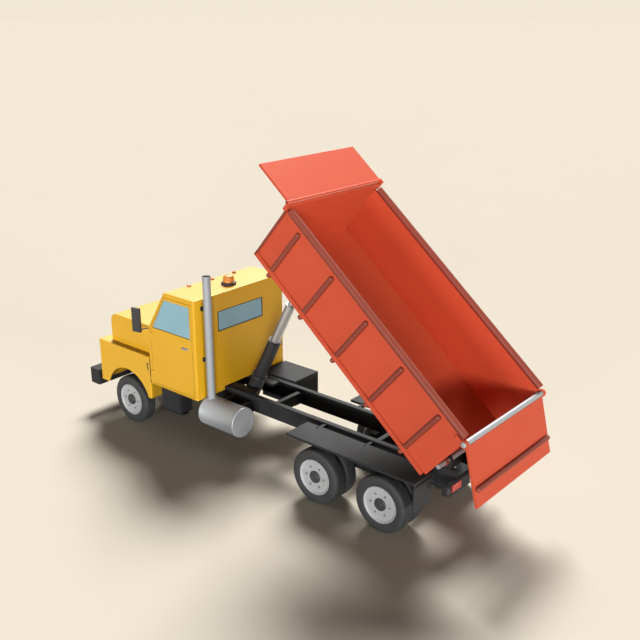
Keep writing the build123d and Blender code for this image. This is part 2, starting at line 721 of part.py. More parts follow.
with BuildPart() as hood_fenders:
    block((nose_front, fender_rear), (fender_bottom, fender_top), (-body_half_width, body_half_width))
    hood_profile(0, hood_half_width)
    outer_edges = hood_fenders.edges().filter_by(Axis.X) + hood_fenders.edges().filter_by(Axis.Z)
    fillet(outer_edges.filter_by(lambda edge: abs(edge.center().Y) > hood_half_width - 1
                                 and edge.center().Z > fender_bottom + 10
                                 and not (abs(edge.center().Y) < hood_half_width + 1
                                          and abs(edge.center().Z - fender_top) < 1)), 18)
    block((nose_front + hood_sheet, fender_rear - hood_sheet),
          (fender_bottom - 1, fender_top - hood_sheet),
          (-body_half_width + hood_sheet, body_half_width - hood_sheet), Mode.SUBTRACT)
    hood_profile(hood_sheet, hood_half_width - hood_sheet, Mode.SUBTRACT)
    block((fender_rear - hood_sheet - 1, fender_rear + 1), (fender_bottom - 1, fender_top - hood_sheet),
          (-splash_half, splash_half), Mode.SUBTRACT)
    block((nose_front - 1, nose_front + hood_sheet + 1), (fender_bottom - 1, rail_notch_top),
          (-rail_notch_half, rail_notch_half), Mode.SUBTRACT)
    for y in both_sides(body_half_width - hood_sheet - 1, body_half_width + 1):
        cross_bar(level, -arch_centre[0], arch_centre[1], y, arch_radius, Mode.SUBTRACT)
    block((nose_front - 1, nose_front + hood_sheet + 1), lower_grille_z, (-grille_half, grille_half),
          Mode.SUBTRACT)
    block((hood_front - 1, hood_front + hood_sheet + 1), upper_grille_z, (-grille_half, grille_half),
          Mode.SUBTRACT)
    for y in both_sides(*hood_arm_y):
        cross_bar(level, -hood_pivot[0], hood_pivot[1], y, hood_arm_radius)
        block((hood_pivot[0], nose_front + 5),
              (hood_pivot[1] - hood_arm_radius, hood_pivot[1] + hood_arm_radius), y)
        cross_bar(level, -hood_pivot[0], hood_pivot[1], y, hood_pin_radius + running_fit, Mode.SUBTRACT)
save(hood_fenders, "hood_fenders")

# Grilles: (panel's front face, its opening's bottom and top) of the lower and the upper one.
grille_panels = (
    (nose_front + hood_sheet, lower_grille_z),
    (hood_front + hood_sheet, upper_grille_z))
grille_bars = 5
grille_lap = 28.0
grille_sheet = 12.0
with BuildPart() as grille:
    for face, (bottom, top) in grille_panels:
        block((face, face + grille_sheet), (bottom - grille_lap, top + grille_lap),
              (-grille_half - grille_lap, grille_half + grille_lap))
        pitch = (top - bottom) / grille_bars
        for bar in range(grille_bars):
            middle = bottom + pitch * (bar + 0.5)
            block((face - hood_sheet + 6, face), (middle - pitch * 0.22, middle + pitch * 0.22),
                  (-grille_half + 1, grille_half - 1))
save(grille, "grille")

head_lamp_y = body_half_width - 313
head_lamp_z = 1190.0
head_lamp_radius = 118.0
head_lamp_depth = 38.0
with BuildPart() as head_lamps:
    for side in (1, -1):
        round_bar((behind(nose_front), side * head_lamp_y, head_lamp_z),
                  (behind(nose_front - head_lamp_depth), side * head_lamp_y, head_lamp_z),
                  head_lamp_radius)
    fillet(head_lamps.edges().group_by(Axis.X)[-1], 14)
save(head_lamps, "head_lamps")


# ---------------------------------------------------------------- steering knuckles and wheels
def make_knuckle(label, side):
    """C-shaped knuckle: lugs above and below the axle's boss, king pin and spindle."""
    plate_y = (steer_pivot_y + 57, steer_pivot_y + 87)
    pivot = side * steer_pivot_y
    with BuildPart() as knuckle:
        for z in ((beam_z[0] - knuckle_gap - knuckle_lug, beam_z[0] - knuckle_gap),
                  (beam_z[1] + knuckle_gap, beam_z[1] + knuckle_gap + knuckle_lug)):
            round_bar((front_axle_x, pivot, z[0]), (front_axle_x, pivot, z[1]), king_boss_radius)
            block((-king_boss_radius, king_boss_radius), z, sorted((pivot, side * plate_y[1])))
        block((-king_boss_radius, king_boss_radius),
              (beam_z[0] - knuckle_gap - knuckle_lug, beam_z[1] + knuckle_gap + knuckle_lug),
              sorted(side * y for y in plate_y))
        round_bar((front_axle_x, pivot, beam_z[0] - knuckle_lug),
                  (front_axle_x, pivot, beam_z[1] + knuckle_lug), king_pin_radius)
        cross_bar(level, 0, axle_height, sorted((side * plate_y[0], side * spindle_end_y)), spindle_radius)
    save(knuckle, label)


make_knuckle("left_knuckle", 1)
make_knuckle("right_knuckle", -1)


def wheel_section(place, side):
    """Sketch plane through an axle: local x outwards along the axle, local y up the radius."""
    return Plane(origin=(behind(place), 0, axle_height), x_dir=(0, side, 0), z_dir=(side, 0, 0))


def make_tyre(label, place, side, faces):
    """Tyres of one wheel, one for each outer face."""
    spin = Axis((behind(place), 0, axle_height), (0, 1, 0))
    with BuildPart() as tyre:
        for face in faces:
            back = face - tyre_width
            with BuildSketch(wheel_section(place, side)) as section:
                with BuildLine():
                    Polyline([
                        (back, rim_radius), (back, tyre_radius - tyre_shoulder),
                        (back + tyre_tread_edge, tyre_radius), (face - tyre_tread_edge, tyre_radius),
                        (face, tyre_radius - tyre_shoulder), (face, rim_radius)], close=True)
                make_face()
            revolve(section.sketch, axis=spin)
    save(tyre, label)


def make_rim(label, place, side, faces):
    """Rims of one wheel on a shared hub that turns on the axle's spindle."""
    spin = Axis((behind(place), 0, axle_height), (0, 1, 0))
    hub_face = faces[0] - disc_recess + hub_proud
    hub_back = faces[-1] - tyre_width + 5
    outer = rim_radius - touch_gap
    with BuildPart() as rim:
        for face in faces:
            disc_face = face - disc_recess
            with BuildSketch(wheel_section(place, side)) as section:
                with Locations(((face - tyre_width / 2), outer - rim_lip / 2)):
                    Rectangle(tyre_width, rim_lip)
                with Locations((disc_face - disc_thickness / 2, outer / 2 + 30)):
                    Rectangle(disc_thickness, outer - 60)
            revolve(section.sketch, axis=spin)
        with BuildSketch(wheel_section(place, side)) as hub_section:
            with Locations(((hub_face + hub_back) / 2, hub_radius / 2)):
                Rectangle(hub_face - hub_back, hub_radius)
            bore_end = spindle_end_y + touch_gap
            with Locations(((hub_back + bore_end) / 2, (spindle_radius + running_fit) / 2)):
                Rectangle(bore_end - hub_back, spindle_radius + running_fit, mode=Mode.SUBTRACT)
        revolve(hub_section.sketch, axis=spin)
    save(rim, label)


# Wheels: (name, distance behind the front axle, twin).
wheel_table = (("front", 0.0, False), ("middle", rear_axles[0], True), ("rear", rear_axles[1], True))
for name, place, twin in wheel_table:
    faces = [wheel_face_y]
    if twin:
        faces.append(wheel_face_y - tyre_width - twin_gap)
    for word, side in (("left", 1), ("right", -1)):
        make_tyre(f"{name}_{word}_tyre", place, side, faces)
        make_rim(f"{name}_{word}_rim", place, side, faces)

# ---------------------------------------------------------------- bed
bed_along = (bed_rear_gap, bed_length)
side_inner_y = side_outer_y - side_sheet
rod_ear_y = (gate_half_width + 6, gate_half_width + 51)
rod_ear_radius = 68.0
rod_ear_along = 150.0
shield_pin_radius = 18.0
shield_tube_radius = 24.0
shield_ear_y = (shield_half_width + 6, shield_half_width + 31)
ear_notch_y = (ear_y[0] - 10, ear_y[1] + 10)

with BuildPart() as bed_body:
    slab(bed_frame, bed_along, (0, bed_floor), (-bed_half_width, bed_half_width))
    slab(bed_frame, (bed_length - front_wall_sheet, bed_length), (bed_floor, front_wall_top),
         (-side_outer_y, side_outer_y))
    for y in both_sides(side_inner_y, side_outer_y):
        slab(bed_frame, (side_rear_gap, bed_length - front_wall_sheet), (bed_floor, side_top), y)
    for y in both_sides(*ear_notch_y):
        slab(bed_frame, (bed_rear_gap - 1, hinge_radius + moving_gap), (-1, bed_floor + 1), y, Mode.SUBTRACT)
    rod_low = gate_rod_place[1] - 55
    for y in both_sides(side_inner_y, side_outer_y):
        slab(bed_frame, (0, bed_rear_gap), (rod_low, side_top + 1), y, Mode.SUBTRACT)
    for y in both_sides(*rod_ear_y):
        slab(bed_frame, (gate_rod_place[0], rod_ear_along), (rod_low, side_top - 20), y)
        cross_bar(bed_frame, *gate_rod_place, y, rod_ear_radius)
    for y in both_sides(side_outer_y, rod_ear_y[0]):
        slab(bed_frame, (bed_rear_gap + 10, rod_ear_along), (rod_low, side_top - 20), y)
    for y in both_sides(rod_ear_y[0] - 1, rod_ear_y[1] + 1):
        cross_bar(bed_frame, *gate_rod_place, y, gate_rod_radius + running_fit, Mode.SUBTRACT)
    for y in both_sides(*shield_ear_y):
        slab(bed_frame, (bed_length - front_wall_sheet, shield_hinge[0]),
             (shield_hinge[1] - 150, shield_hinge[1] + 30), y)
        cross_bar(bed_frame, *shield_hinge, y, 30)
    for y in both_sides(side_outer_y, shield_ear_y[0]):
        slab(bed_frame, (bed_length - front_wall_sheet, bed_length),
             (shield_hinge[1] - 150, shield_hinge[1] - 60), y)
    for y in both_sides(shield_ear_y[0] - 1, shield_ear_y[1] + 1):
        cross_bar(bed_frame, *shield_hinge, y, shield_pin_radius + running_fit, Mode.SUBTRACT)
save(bed_body, "bed_body")

rail_along = (60.0, bed_length - 96)
rib_y = side_outer_y + 6
with BuildPart() as bed_ribs:
    for side in (1, -1):
        start = bed_point(rail_along[0], side * side_outer_y, top_rail_height)
        end = bed_point(rail_along[1], side * side_outer_y, top_rail_height)
        round_bar(start, end, top_rail_radius)
    for index in range(rib_count):
        along = rib_first + index * rib_pitch
        for side in (1, -1):
            low = bed_point(along, side * rib_y, rib_low + rib_radius)
            high = bed_point(along, side * rib_y, rib_high - rib_radius)
            round_bar(low, high, rib_radius)
            capsule_end(high, rib_radius)
    for y in both_sides(side_inner_y - 30, side_outer_y):
        slab(bed_frame, (rail_along[0] - 50, rail_along[1] + 50), (-50, side_top), y, Mode.SUBTRACT)
    slab(bed_frame, (rail_along[0] - 50, rail_along[1] + 50), (-50, bed_floor),
         (-bed_half_width - 60, bed_half_width + 60), Mode.SUBTRACT)
save(bed_ribs, "bed_ribs")

sill_y = (380.0, 460.0)
sill_depth = 133.0
sill_along = (140.0, bed_length - 90)
bearer_half = bed_half_width - 92
bearer_height = -bearer_depth + 8
lug_y = (500.0, 560.0)
lug_along = 320.0
eye_ear_y = (82.0, 112.0)
eye_ear_radius = 55.0
eye_half_width = 70.0
eye_radius = 64.0
eye_stub_radius = 28.0
with BuildPart() as bed_bearers:
    for y in both_sides(*sill_y):
        slab(bed_frame, sill_along, (-sill_depth, 0), y)
    for index in range(rib_count):
        along = rib_first + index * rib_pitch
        ends = [bed_point(along, across, bearer_height) for across in (-bearer_half, bearer_half)]
        round_bar(*ends, bearer_radius)
        for end in ends:
            capsule_end(end, bearer_radius)
    for y in both_sides(*lug_y):
        slab(bed_frame, (0, lug_along), (-hinge_radius, 0), y)
        cross_bar(bed_frame, 0, 0, y, hinge_radius)
        cross_bar(bed_frame, 0, 0, y, pivot_shaft_radius + running_fit, Mode.SUBTRACT)
    for y in both_sides(*eye_ear_y):
        slab(bed_frame, (hoist_eye_place[0] - eye_ear_radius, hoist_eye_place[0] + eye_ear_radius),
             (hoist_eye_place[1], 0), y)
        cross_bar(bed_frame, *hoist_eye_place, y, eye_ear_radius)
    for y in both_sides(eye_half_width + 2, eye_ear_y[0]):
        cross_bar(bed_frame, *hoist_eye_place, y, eye_stub_radius)
    slab(bed_frame, (bed_rear_gap, bed_length), (0, bed_floor), (-bed_half_width, bed_half_width),
         Mode.SUBTRACT)
save(bed_bearers, "bed_bearers")

shield_pin_end = shield_ear_y[1]
with BuildPart() as cab_shield:
    slab(bed_frame, (shield_hinge[0], shield_hinge[0] + shield_length),
         (shield_hinge[1] - shield_sheet / 2, shield_hinge[1] + shield_sheet / 2),
         (-shield_half_width, shield_half_width))
    cross_bar(bed_frame, *shield_hinge, (-shield_half_width, shield_half_width), shield_tube_radius)
    cross_bar(bed_frame, *shield_hinge, (-shield_pin_end, shield_pin_end), shield_pin_radius)
save(cab_shield, "cab_shield")

# ---------------------------------------------------------------- tailgate
gate_frame = side_frame(bed_point(gate_rod_place[0], 0, gate_rod_place[1]), 270 - gate_swing)
gate_rib_down = 745.0
gate_rib_radius = 42.0
gate_rib_half = gate_half_width - 25
gate_rib_out = 45.0          # the rib's axis outside the gate's middle plane
gate_corner = 14.0
with BuildPart() as tailgate:
    slab(gate_frame, (gate_rod_radius + touch_gap, gate_length), (-gate_sheet / 2, gate_sheet / 2),
         (-gate_half_width, gate_half_width))
    bottom_edges = tailgate.edges().group_by(Axis.Z)[0]
    fillet(bottom_edges.filter_by(Axis.Y), gate_corner)
save(tailgate, "tailgate")

with BuildPart() as tailgate_rib:
    rib_end = gate_rib_half - gate_rib_radius
    cross_bar(gate_frame, gate_rib_down, -gate_rib_out, (-rib_end, rib_end), gate_rib_radius)
    for across in (-rib_end, rib_end):
        along_x = gate_frame.x_dir * gate_rib_down - gate_frame.y_dir * gate_rib_out
        capsule_end(gate_frame.origin + along_x + Vector(0, across, 0), gate_rib_radius)
    slab(gate_frame, (gate_rib_down - 100, gate_rib_down + 100), (-gate_sheet / 2, gate_sheet / 2 + 30),
         (-gate_half_width, gate_half_width), Mode.SUBTRACT)
save(tailgate_rib, "tailgate_rib")

with BuildPart() as tailgate_rod:
    cross_bar(gate_frame, 0, 0, (-gate_rod_half, gate_rod_half), gate_rod_radius)
save(tailgate_rod, "tailgate_rod")

# ---------------------------------------------------------------- hoist
# The eye's pin stands on the bed; the barrel swings on its trunnions and three stages slide out.
base_point = Vector(behind(hoist_base[0]), 0, hoist_base[1])
eye_raised = bed_point(hoist_eye_place[0], 0, hoist_eye_place[1])
eye_lowered = Vector(behind(bed_pivot[0] - hoist_eye_place[0]), 0, bed_pivot[1] + hoist_eye_place[1])
raised_run = eye_raised - base_point
length_raised = raised_run.length
length_lowered = (eye_lowered - base_point).length
hoist_stroke = (length_raised - length_lowered) / 3
hoist_closed_top = length_lowered - hoist_head
hoist_angle = degrees(atan2(raised_run.Z, raised_run.X))
hoist_frame = side_frame(base_point, hoist_angle)
barrel_foot = 75.0
trunnion_end = cheek_y[1]


def along_hoist(distance):
    """World point on the hoist's centre line, a distance from its trunnions."""
    return base_point + direction(hoist_angle) * distance


def add_tube(start, end, outer, inner):
    """Tube on the hoist's centre line."""
    round_bar(along_hoist(start), along_hoist(end), outer)
    round_bar(along_hoist(start), along_hoist(end), inner, Mode.SUBTRACT)


with BuildPart() as hoist_barrel:
    round_bar(along_hoist(-barrel_foot), along_hoist(hoist_closed_top), hoist_radii[0])
    round_bar(along_hoist(hoist_foot / 2), along_hoist(hoist_closed_top), hoist_radii[1] + running_fit,
              Mode.SUBTRACT)
    for y in both_sides(hoist_radii[0] - 10, trunnion_end):
        cross_bar(hoist_frame, 0, 0, y, trunnion_radius)
save(hoist_barrel, "hoist_barrel")

for index, label in ((1, "hoist_stage_a"), (2, "hoist_stage_b")):
    with BuildPart() as stage:
        foot = index * (hoist_foot + hoist_stroke)
        top = hoist_closed_top + index * (hoist_step + hoist_stroke)
        add_tube(foot, top, hoist_radii[index], hoist_radii[index + 1] + running_fit)
    save(stage, label)

with BuildPart() as hoist_rod:
    round_bar(along_hoist(3 * (hoist_foot + hoist_stroke)), along_hoist(length_raised - eye_radius / 2),
              hoist_radii[3])
    cross_bar(hoist_frame, length_raised, 0, (-eye_half_width, eye_half_width), eye_radius)
    cross_bar(hoist_frame, length_raised, 0, (-eye_half_width, eye_half_width), eye_stub_radius,
              Mode.SUBTRACT)
save(hoist_rod, "hoist_rod")
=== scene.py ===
"""Looks of a three-axle dump truck: finishes, tyres, wheels, cab trim, lamps, bed details and the studio.

Lengths are in metres. X points to the front bumper, Y to the truck's left and Z up.
"""

import logging
import math
from collections.abc import Callable
from dataclasses import dataclass
from enum import Enum
from functools import cache

import bpy
from mathutils import Matrix, Vector


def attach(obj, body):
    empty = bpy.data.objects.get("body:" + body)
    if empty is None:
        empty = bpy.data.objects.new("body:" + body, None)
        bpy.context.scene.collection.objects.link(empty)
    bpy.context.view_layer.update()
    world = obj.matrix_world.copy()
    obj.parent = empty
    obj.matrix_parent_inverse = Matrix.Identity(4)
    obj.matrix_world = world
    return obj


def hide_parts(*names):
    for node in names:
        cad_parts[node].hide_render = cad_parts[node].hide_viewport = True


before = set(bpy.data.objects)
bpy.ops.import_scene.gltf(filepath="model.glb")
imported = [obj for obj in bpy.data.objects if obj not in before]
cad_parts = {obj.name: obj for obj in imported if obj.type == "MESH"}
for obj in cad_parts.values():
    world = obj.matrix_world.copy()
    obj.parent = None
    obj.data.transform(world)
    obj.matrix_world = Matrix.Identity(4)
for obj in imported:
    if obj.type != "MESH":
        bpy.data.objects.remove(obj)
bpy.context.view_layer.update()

LOG = logging.getLogger("dump_truck")
Piece = bpy.types.Object
Socket = bpy.types.NodeSocket
Face = bpy.types.MeshPolygon
Point = tuple[float, float, float]
Span = tuple[float, float]
Section = list[Span]

FRONT_AXLE_X = 3.42535
AXLE_HEIGHT = 0.505
MIDDLE_AXLE = 4.985
REAR_AXLE = 6.383
BED_PIVOT = 7.19
BED_PIVOT_HEIGHT = 1.31
BED_ANGLE = 40.1
HOIST_FOOT = 2.15
HOIST_FOOT_HEIGHT = 0.55
HOIST_ANGLE = 117.377
FULL_TURN = 2 * math.pi
QUARTER_TURN = math.pi / 2


class Side(Enum):
    """Side of the truck, as the sign of Y."""

    LEFT = 1
    RIGHT = -1

    @property
    def word(self) -> str:
        """Side's name as the nodes and bodies spell it."""
        return self.name.lower()


def behind(distance: float) -> float:
    """X of a place that lies a distance behind the front axle."""
    return FRONT_AXLE_X - distance


def shift(x: float, y: float, z: float) -> Matrix:
    """Matrix that moves a piece."""
    return Matrix.Translation((x, y, z))


def spun(angle: float, axis: str) -> Matrix:
    """Matrix that turns a piece by an angle in radians about an axis."""
    return Matrix.Rotation(angle, 4, axis)


def mirrored(x: float, y: float, z: float) -> list[Matrix]:
    """A place on the left and its twin on the right."""
    return [shift(x, side.value * y, z) for side in Side]


def outward(x: float, y: float, z: float) -> list[Matrix]:
    """A place on the left and its twin on the right, with X pointing away from the truck."""
    return [shift(x, side.value * y, z) @ spun(side.value * QUARTER_TURN, "Z") for side in Side]


def side_matrix(x: float, z: float, angle: float) -> Matrix:
    """Frame in the truck's side plane, turned up from straight ahead by an angle in degrees."""
    return shift(x, 0, z) @ spun(-math.radians(angle), "Y")


BED_MATRIX = side_matrix(behind(BED_PIVOT), BED_PIVOT_HEIGHT, BED_ANGLE)
GATE_ORIGIN = BED_MATRIX @ Vector((-0.02, 0, 1.091))
HOIST_MATRIX = side_matrix(behind(HOIST_FOOT), HOIST_FOOT_HEIGHT, HOIST_ANGLE)
SCREEN_ANGLE = math.degrees(math.atan2(0.842, -0.538))
SCREEN_MATRIX = side_matrix(behind(0.72), 2.237, SCREEN_ANGLE)
REAR_WALL_TURN = spun(-QUARTER_TURN, "Z") @ spun(QUARTER_TURN, "X")
UPWARD = spun(-QUARTER_TURN, "Y")
AFT = spun(math.pi, "Z")


# ---------------------------------------------------------------- finishes
class NodeSheet:
    """Short way to place and wire shader nodes in one tree."""

    def __init__(self, tree: bpy.types.NodeTree) -> None:
        """Keeps the node tree."""
        self.tree = tree

    def add(self, kind: str, **settings: object) -> bpy.types.Node:
        """Adds a node.

        Args:
            kind: Node type's identifier.
            **settings: Attributes to set on it.

        Returns:
            The new node.
        """
        node = self.tree.nodes.new(kind)
        for name, value in settings.items():
            setattr(node, name, value)
        return node

    def wire(self, source: object, target: Socket) -> None:
        """Feeds an input.

        Args:
            source: Output to join to it, or its value; a colour leaves out its alpha.
            target: The input.
        """
        if isinstance(source, Socket):
            self.tree.links.new(source, target)
        else:
            target.default_value = (*source, 1.0) if target.type == "RGBA" else source

    def fill(self, node: bpy.types.Node, sources: dict[str | int, object]) -> bpy.types.Node:
        """Feeds several inputs of a node.

        Args:
            node: The node.
            sources: Output or value for each input, by the input's name or number.

        Returns:
            The node.
        """
        for key, source in sources.items():
            self.wire(source, node.inputs[key])
        return node

    def place(self) -> Socket:
        """Object coordinates."""
        return self.add("ShaderNodeTexCoord").outputs["Object"]

    def parts(self, vector: Socket) -> object:
        """Outputs with a vector's X, Y and Z."""
        return self.fill(self.add("ShaderNodeSeparateXYZ"), {0: vector}).outputs

    def math(self, operation: str, first: object, second: object = 0.0) -> Socket:
        """Adds a Math node; its inputs take outputs or numbers."""
        return self.fill(self.add("ShaderNodeMath", operation=operation), {0: first, 1: second}).outputs[0]

    def span(self, value: Socket, low: float, high: float, start: object, end: object) -> Socket:
        """Maps a value from low and high to start and end, held at the ends."""
        sources = dict(enumerate((value, low, high, start, end)))
        return self.fill(self.add("ShaderNodeMapRange"), sources).outputs[0]

    def blend(self, share: Socket, first: object, second: object) -> Socket:
        """Mixes two colours, each an output or a value; the share is the second one's."""
        node = self.add("ShaderNodeMix", data_type="RGBA")
        return self.fill(node, {"Factor": share, 6: first, 7: second}).outputs[2]

    def noise(self, place: Socket, scale: object, detail: float) -> Socket:
        """Adds a noise texture and gives its value."""
        node = self.add("ShaderNodeTexNoise")
        return self.fill(node, {"Vector": place, "Detail": detail, "Scale": scale}).outputs["Fac"]

    def seen(self) -> Socket:
        """Tells the rays that see a surface from those that only carry light between surfaces.

        Returns:
            Socket with 1 for the first kind and 0 for the second.
        """
        rays = self.add("ShaderNodeLightPath").outputs
        direct = self.math("MAXIMUM", rays["Is Camera Ray"], rays["Is Glossy Ray"])
        return self.math("MAXIMUM", direct, rays["Is Transmission Ray"])


def new_group(name: str, inputs: dict[str, str],
              outputs: dict[str, str]) -> tuple[NodeSheet, object, bpy.types.Node]:
    """Makes an empty shader group.

    Args:
        name: Its name.
        inputs: Input names and socket types.
        outputs: Output names and socket types.

    Returns:
        The group's sheet, the outputs of its input node, and its output node.
    """
    tree = bpy.data.node_groups.new(name, "ShaderNodeTree")
    for way, sockets in (("INPUT", inputs), ("OUTPUT", outputs)):
        for label, kind in sockets.items():
            tree.interface.new_socket(name=label, in_out=way, socket_type=kind)
    sheet = NodeSheet(tree)
    return sheet, sheet.add("NodeGroupInput").outputs, sheet.add("NodeGroupOutput")


NUMBER = "NodeSocketFloat"
COLOUR = "NodeSocketColor"
VECTOR = "NodeSocketVector"


class SharedEffects:
    """Shader groups that the finishes share."""

    @staticmethod
    @cache
    def film() -> bpy.types.NodeTree:
        """Film of paint or plastic: broad tone drift, fine speckle and dust on what faces up.

        Returns:
            Group with Color, Roughness and Height.
        """
        sheet, given, leave = new_group(
            "surface_film",
            {"Base": COLOUR, "Drift": COLOUR, "Dust": COLOUR, "Drift Amount": NUMBER, "Dust Amount": NUMBER,
             "Scale": NUMBER, "Roughness": NUMBER, "Roughness Spread": NUMBER},
            {"Color": COLOUR, "Roughness": NUMBER, "Height": NUMBER})
        place = sheet.place()
        broad = sheet.noise(place, given["Scale"], 5.0)
        fine = sheet.noise(place, sheet.math("MULTIPLY", given["Scale"], 42.0), 3.0)
        share = sheet.math("MULTIPLY", sheet.span(broad, 0.35, 0.68, 0.0, 1.0), given["Drift Amount"])
        toned = sheet.blend(share, given["Base"], given["Drift"])
        facing = sheet.parts(sheet.add("ShaderNodeNewGeometry").outputs["Normal"])
        upward = sheet.span(facing["Z"], 0.35, 0.95, 0.0, 1.0)
        patchy = sheet.math("MULTIPLY", upward, sheet.span(fine, 0.3, 0.75, 0.35, 1.0))
        dusty = sheet.math("MULTIPLY", patchy, given["Dust Amount"])
        spread = sheet.math("MULTIPLY", sheet.math("SUBTRACT", broad, 0.5), given["Roughness Spread"])
        rough = sheet.math("ADD", sheet.math("ADD", given["Roughness"], spread),
                           sheet.math("MULTIPLY", dusty, 0.25))
        sheet.fill(leave, {"Color": sheet.blend(dusty, toned, given["Dust"]), "Roughness": rough,
                           "Height": fine})
        return sheet.tree

    @staticmethod
    @cache
    def grain() -> bpy.types.NodeTree:
        """Drawn grain of bare metal, stretched along one axis.

        Returns:
            Group with Color, Roughness and Height.
        """
        sheet, given, leave = new_group(
            "drawn_grain",
            {"Base": COLOUR, "Streak": COLOUR, "Stretch": VECTOR, "Amount": NUMBER, "Roughness": NUMBER},
            {"Color": COLOUR, "Roughness": NUMBER, "Height": NUMBER})
        place = sheet.place()
        stretched = sheet.add("ShaderNodeVectorMath", operation="MULTIPLY")
        sheet.fill(stretched, {0: place, 1: given["Stretch"]})
        streaks = sheet.noise(stretched.outputs[0], 1.0, 6.0)
        cloud = sheet.noise(place, 3.1, 4.0)
        share = sheet.math("MULTIPLY", sheet.span(streaks, 0.3, 0.7, 0.0, 1.0), given["Amount"])
        mixed = sheet.math("ADD", sheet.math("MULTIPLY", streaks, 0.12), sheet.math("MULTIPLY", cloud, 0.16))
        rough = sheet.math("ADD", given["Roughness"], sheet.math("SUBTRACT", mixed, 0.14))
        sheet.fill(leave, {"Color": sheet.blend(share, given["Base"], given["Streak"]), "Roughness": rough,
                           "Height": streaks})
        return sheet.tree

    @staticmethod
    @cache
    def weave() -> bpy.types.NodeTree:
        """Woven cloth from two crossed waves.

        Returns:
            Group with Color and Height.
        """
        sheet, given, leave = new_group(
            "woven_cloth", {"Warp": COLOUR, "Weft": COLOUR, "Threads": NUMBER},
            {"Color": COLOUR, "Height": NUMBER})
        place = sheet.parts(sheet.place())
        lengthwise = sheet.math("ADD", place["X"], place["Z"])
        waves = [sheet.math("SINE", sheet.math("MULTIPLY", along, given["Threads"]))
                 for along in (lengthwise, place["Y"])]
        share = sheet.span(sheet.math("MULTIPLY", *waves), -1.0, 1.0, 0.0, 1.0)
        sheet.fill(leave, {"Color": sheet.blend(share, given["Warp"], given["Weft"]), "Height": share})
        return sheet.tree


def soft_edge_normal(sheet: NodeSheet, height: Socket, depth: float, strength: float, edge: float) -> Socket:
    """Bump over a normal that rounds sharp edges.

    Args:
        sheet: Sheet of the material.
        height: Socket with the bump's height.
        depth: Bump's depth.
        strength: Bump's strength.
        edge: Radius that edges look rounded to.

    Returns:
        Normal to feed the shader.
    """
    bump = sheet.add("ShaderNodeBump")
    sheet.fill(bump, {"Strength": strength, "Distance": depth, "Height": height})
    if edge > 0:
        rounding = sheet.fill(sheet.add("ShaderNodeBevel", samples=4), {"Radius": edge})
        sheet.wire(rounding.outputs[0], bump.inputs["Normal"])
    return bump.outputs[0]


def blank_material(name: str) -> tuple[bpy.types.Material, NodeSheet, bpy.types.Node]:
    """Starts a material.

    Args:
        name: Its name.

    Returns:
        The material, its sheet and its principled shader.
    """
    material = bpy.data.materials.new(f"{name}_finish")
    material.use_nodes = True
    return material, NodeSheet(material.node_tree), material.node_tree.nodes["Principled BSDF"]


@dataclass(frozen=True)
class Coating:
    """Paint, plastic or rubber film over a body."""

    name: str
    base: Point
    drift: Point
    dust: Point = (0.42, 0.38, 0.31)
    drift_amount: float = 0.35
    dust_amount: float = 0.0
    scale: float = 1.4
    roughness: float = 0.42
    roughness_spread: float = 0.14
    specular: float = 0.5
    coat: float = 0.0
    coat_roughness: float = 0.18
    depth: float = 0.0006
    bump: float = 0.12
    edge: float = 0.006

    def make(self) -> bpy.types.Material:
        """Builds the material.

        Returns:
            The material.
        """
        material, sheet, shader = blank_material(self.name)
        film = sheet.fill(sheet.add("ShaderNodeGroup", node_tree=SharedEffects.film()), {
            "Base": self.base, "Drift": self.drift, "Dust": self.dust, "Drift Amount": self.drift_amount,
            "Dust Amount": self.dust_amount, "Scale": self.scale, "Roughness": self.roughness,
            "Roughness Spread": self.roughness_spread}).outputs
        normal = soft_edge_normal(sheet, film["Height"], self.depth, self.bump, self.edge)
        sheet.fill(shader, {
            "Base Color": film["Color"], "Roughness": film["Roughness"], "Normal": normal,
            "Specular IOR Level": self.specular, "Coat Weight": self.coat,
            "Coat Roughness": self.coat_roughness})
        return material


@dataclass(frozen=True)
class BareMetal:
    """Drawn, cast or plated metal."""

    name: str
    base: Point
    streak: Point
    stretch: Point = (60.0, 60.0, 4.0)
    amount: float = 0.4
    roughness: float = 0.34
    metallic: float = 0.85
    depth: float = 0.0004
    bump: float = 0.1
    edge: float = 0.004

    def make(self) -> bpy.types.Material:
        """Builds the material.

        Returns:
            The material.
        """
        material, sheet, shader = blank_material(self.name)
        grain = sheet.fill(sheet.add("ShaderNodeGroup", node_tree=SharedEffects.grain()), {
            "Base": self.base, "Streak": self.streak, "Stretch": self.stretch, "Amount": self.amount,
            "Roughness": self.roughness}).outputs
        normal = soft_edge_normal(sheet, grain["Height"], self.depth, self.bump, self.edge)
        sheet.fill(shader, {"Base Color": grain["Color"], "Roughness": grain["Roughness"], "Normal": normal,
                            "Metallic": self.metallic})
        return material


@dataclass(frozen=True)
class Pane:
    """Tinted glass or a clear lens."""

    name: str
    tint: Point
    drift: Point
    transmission: float = 0.5
    roughness: float = 0.06
    waviness: float = 0.03
    refraction: float = 1.45

    def make(self) -> bpy.types.Material:
        """Builds the material.

        Returns:
            The material.
        """
        material, sheet, shader = blank_material(self.name)
        place = sheet.place()
        waves = sheet.noise(place, 2.2, 2.0)
        smear = sheet.noise(place, 14.0, 5.0)
        sheet.fill(shader, {
            "Base Color": sheet.blend(sheet.span(waves, 0.3, 0.7, 0.0, 0.6), self.tint, self.drift),
            "Roughness": sheet.span(smear, 0.35, 0.75, self.roughness, self.roughness + 0.08),
            "Normal": soft_edge_normal(sheet, waves, 0.004, self.waviness, 0.0),
            "Transmission Weight": self.transmission, "IOR": self.refraction})
        return material


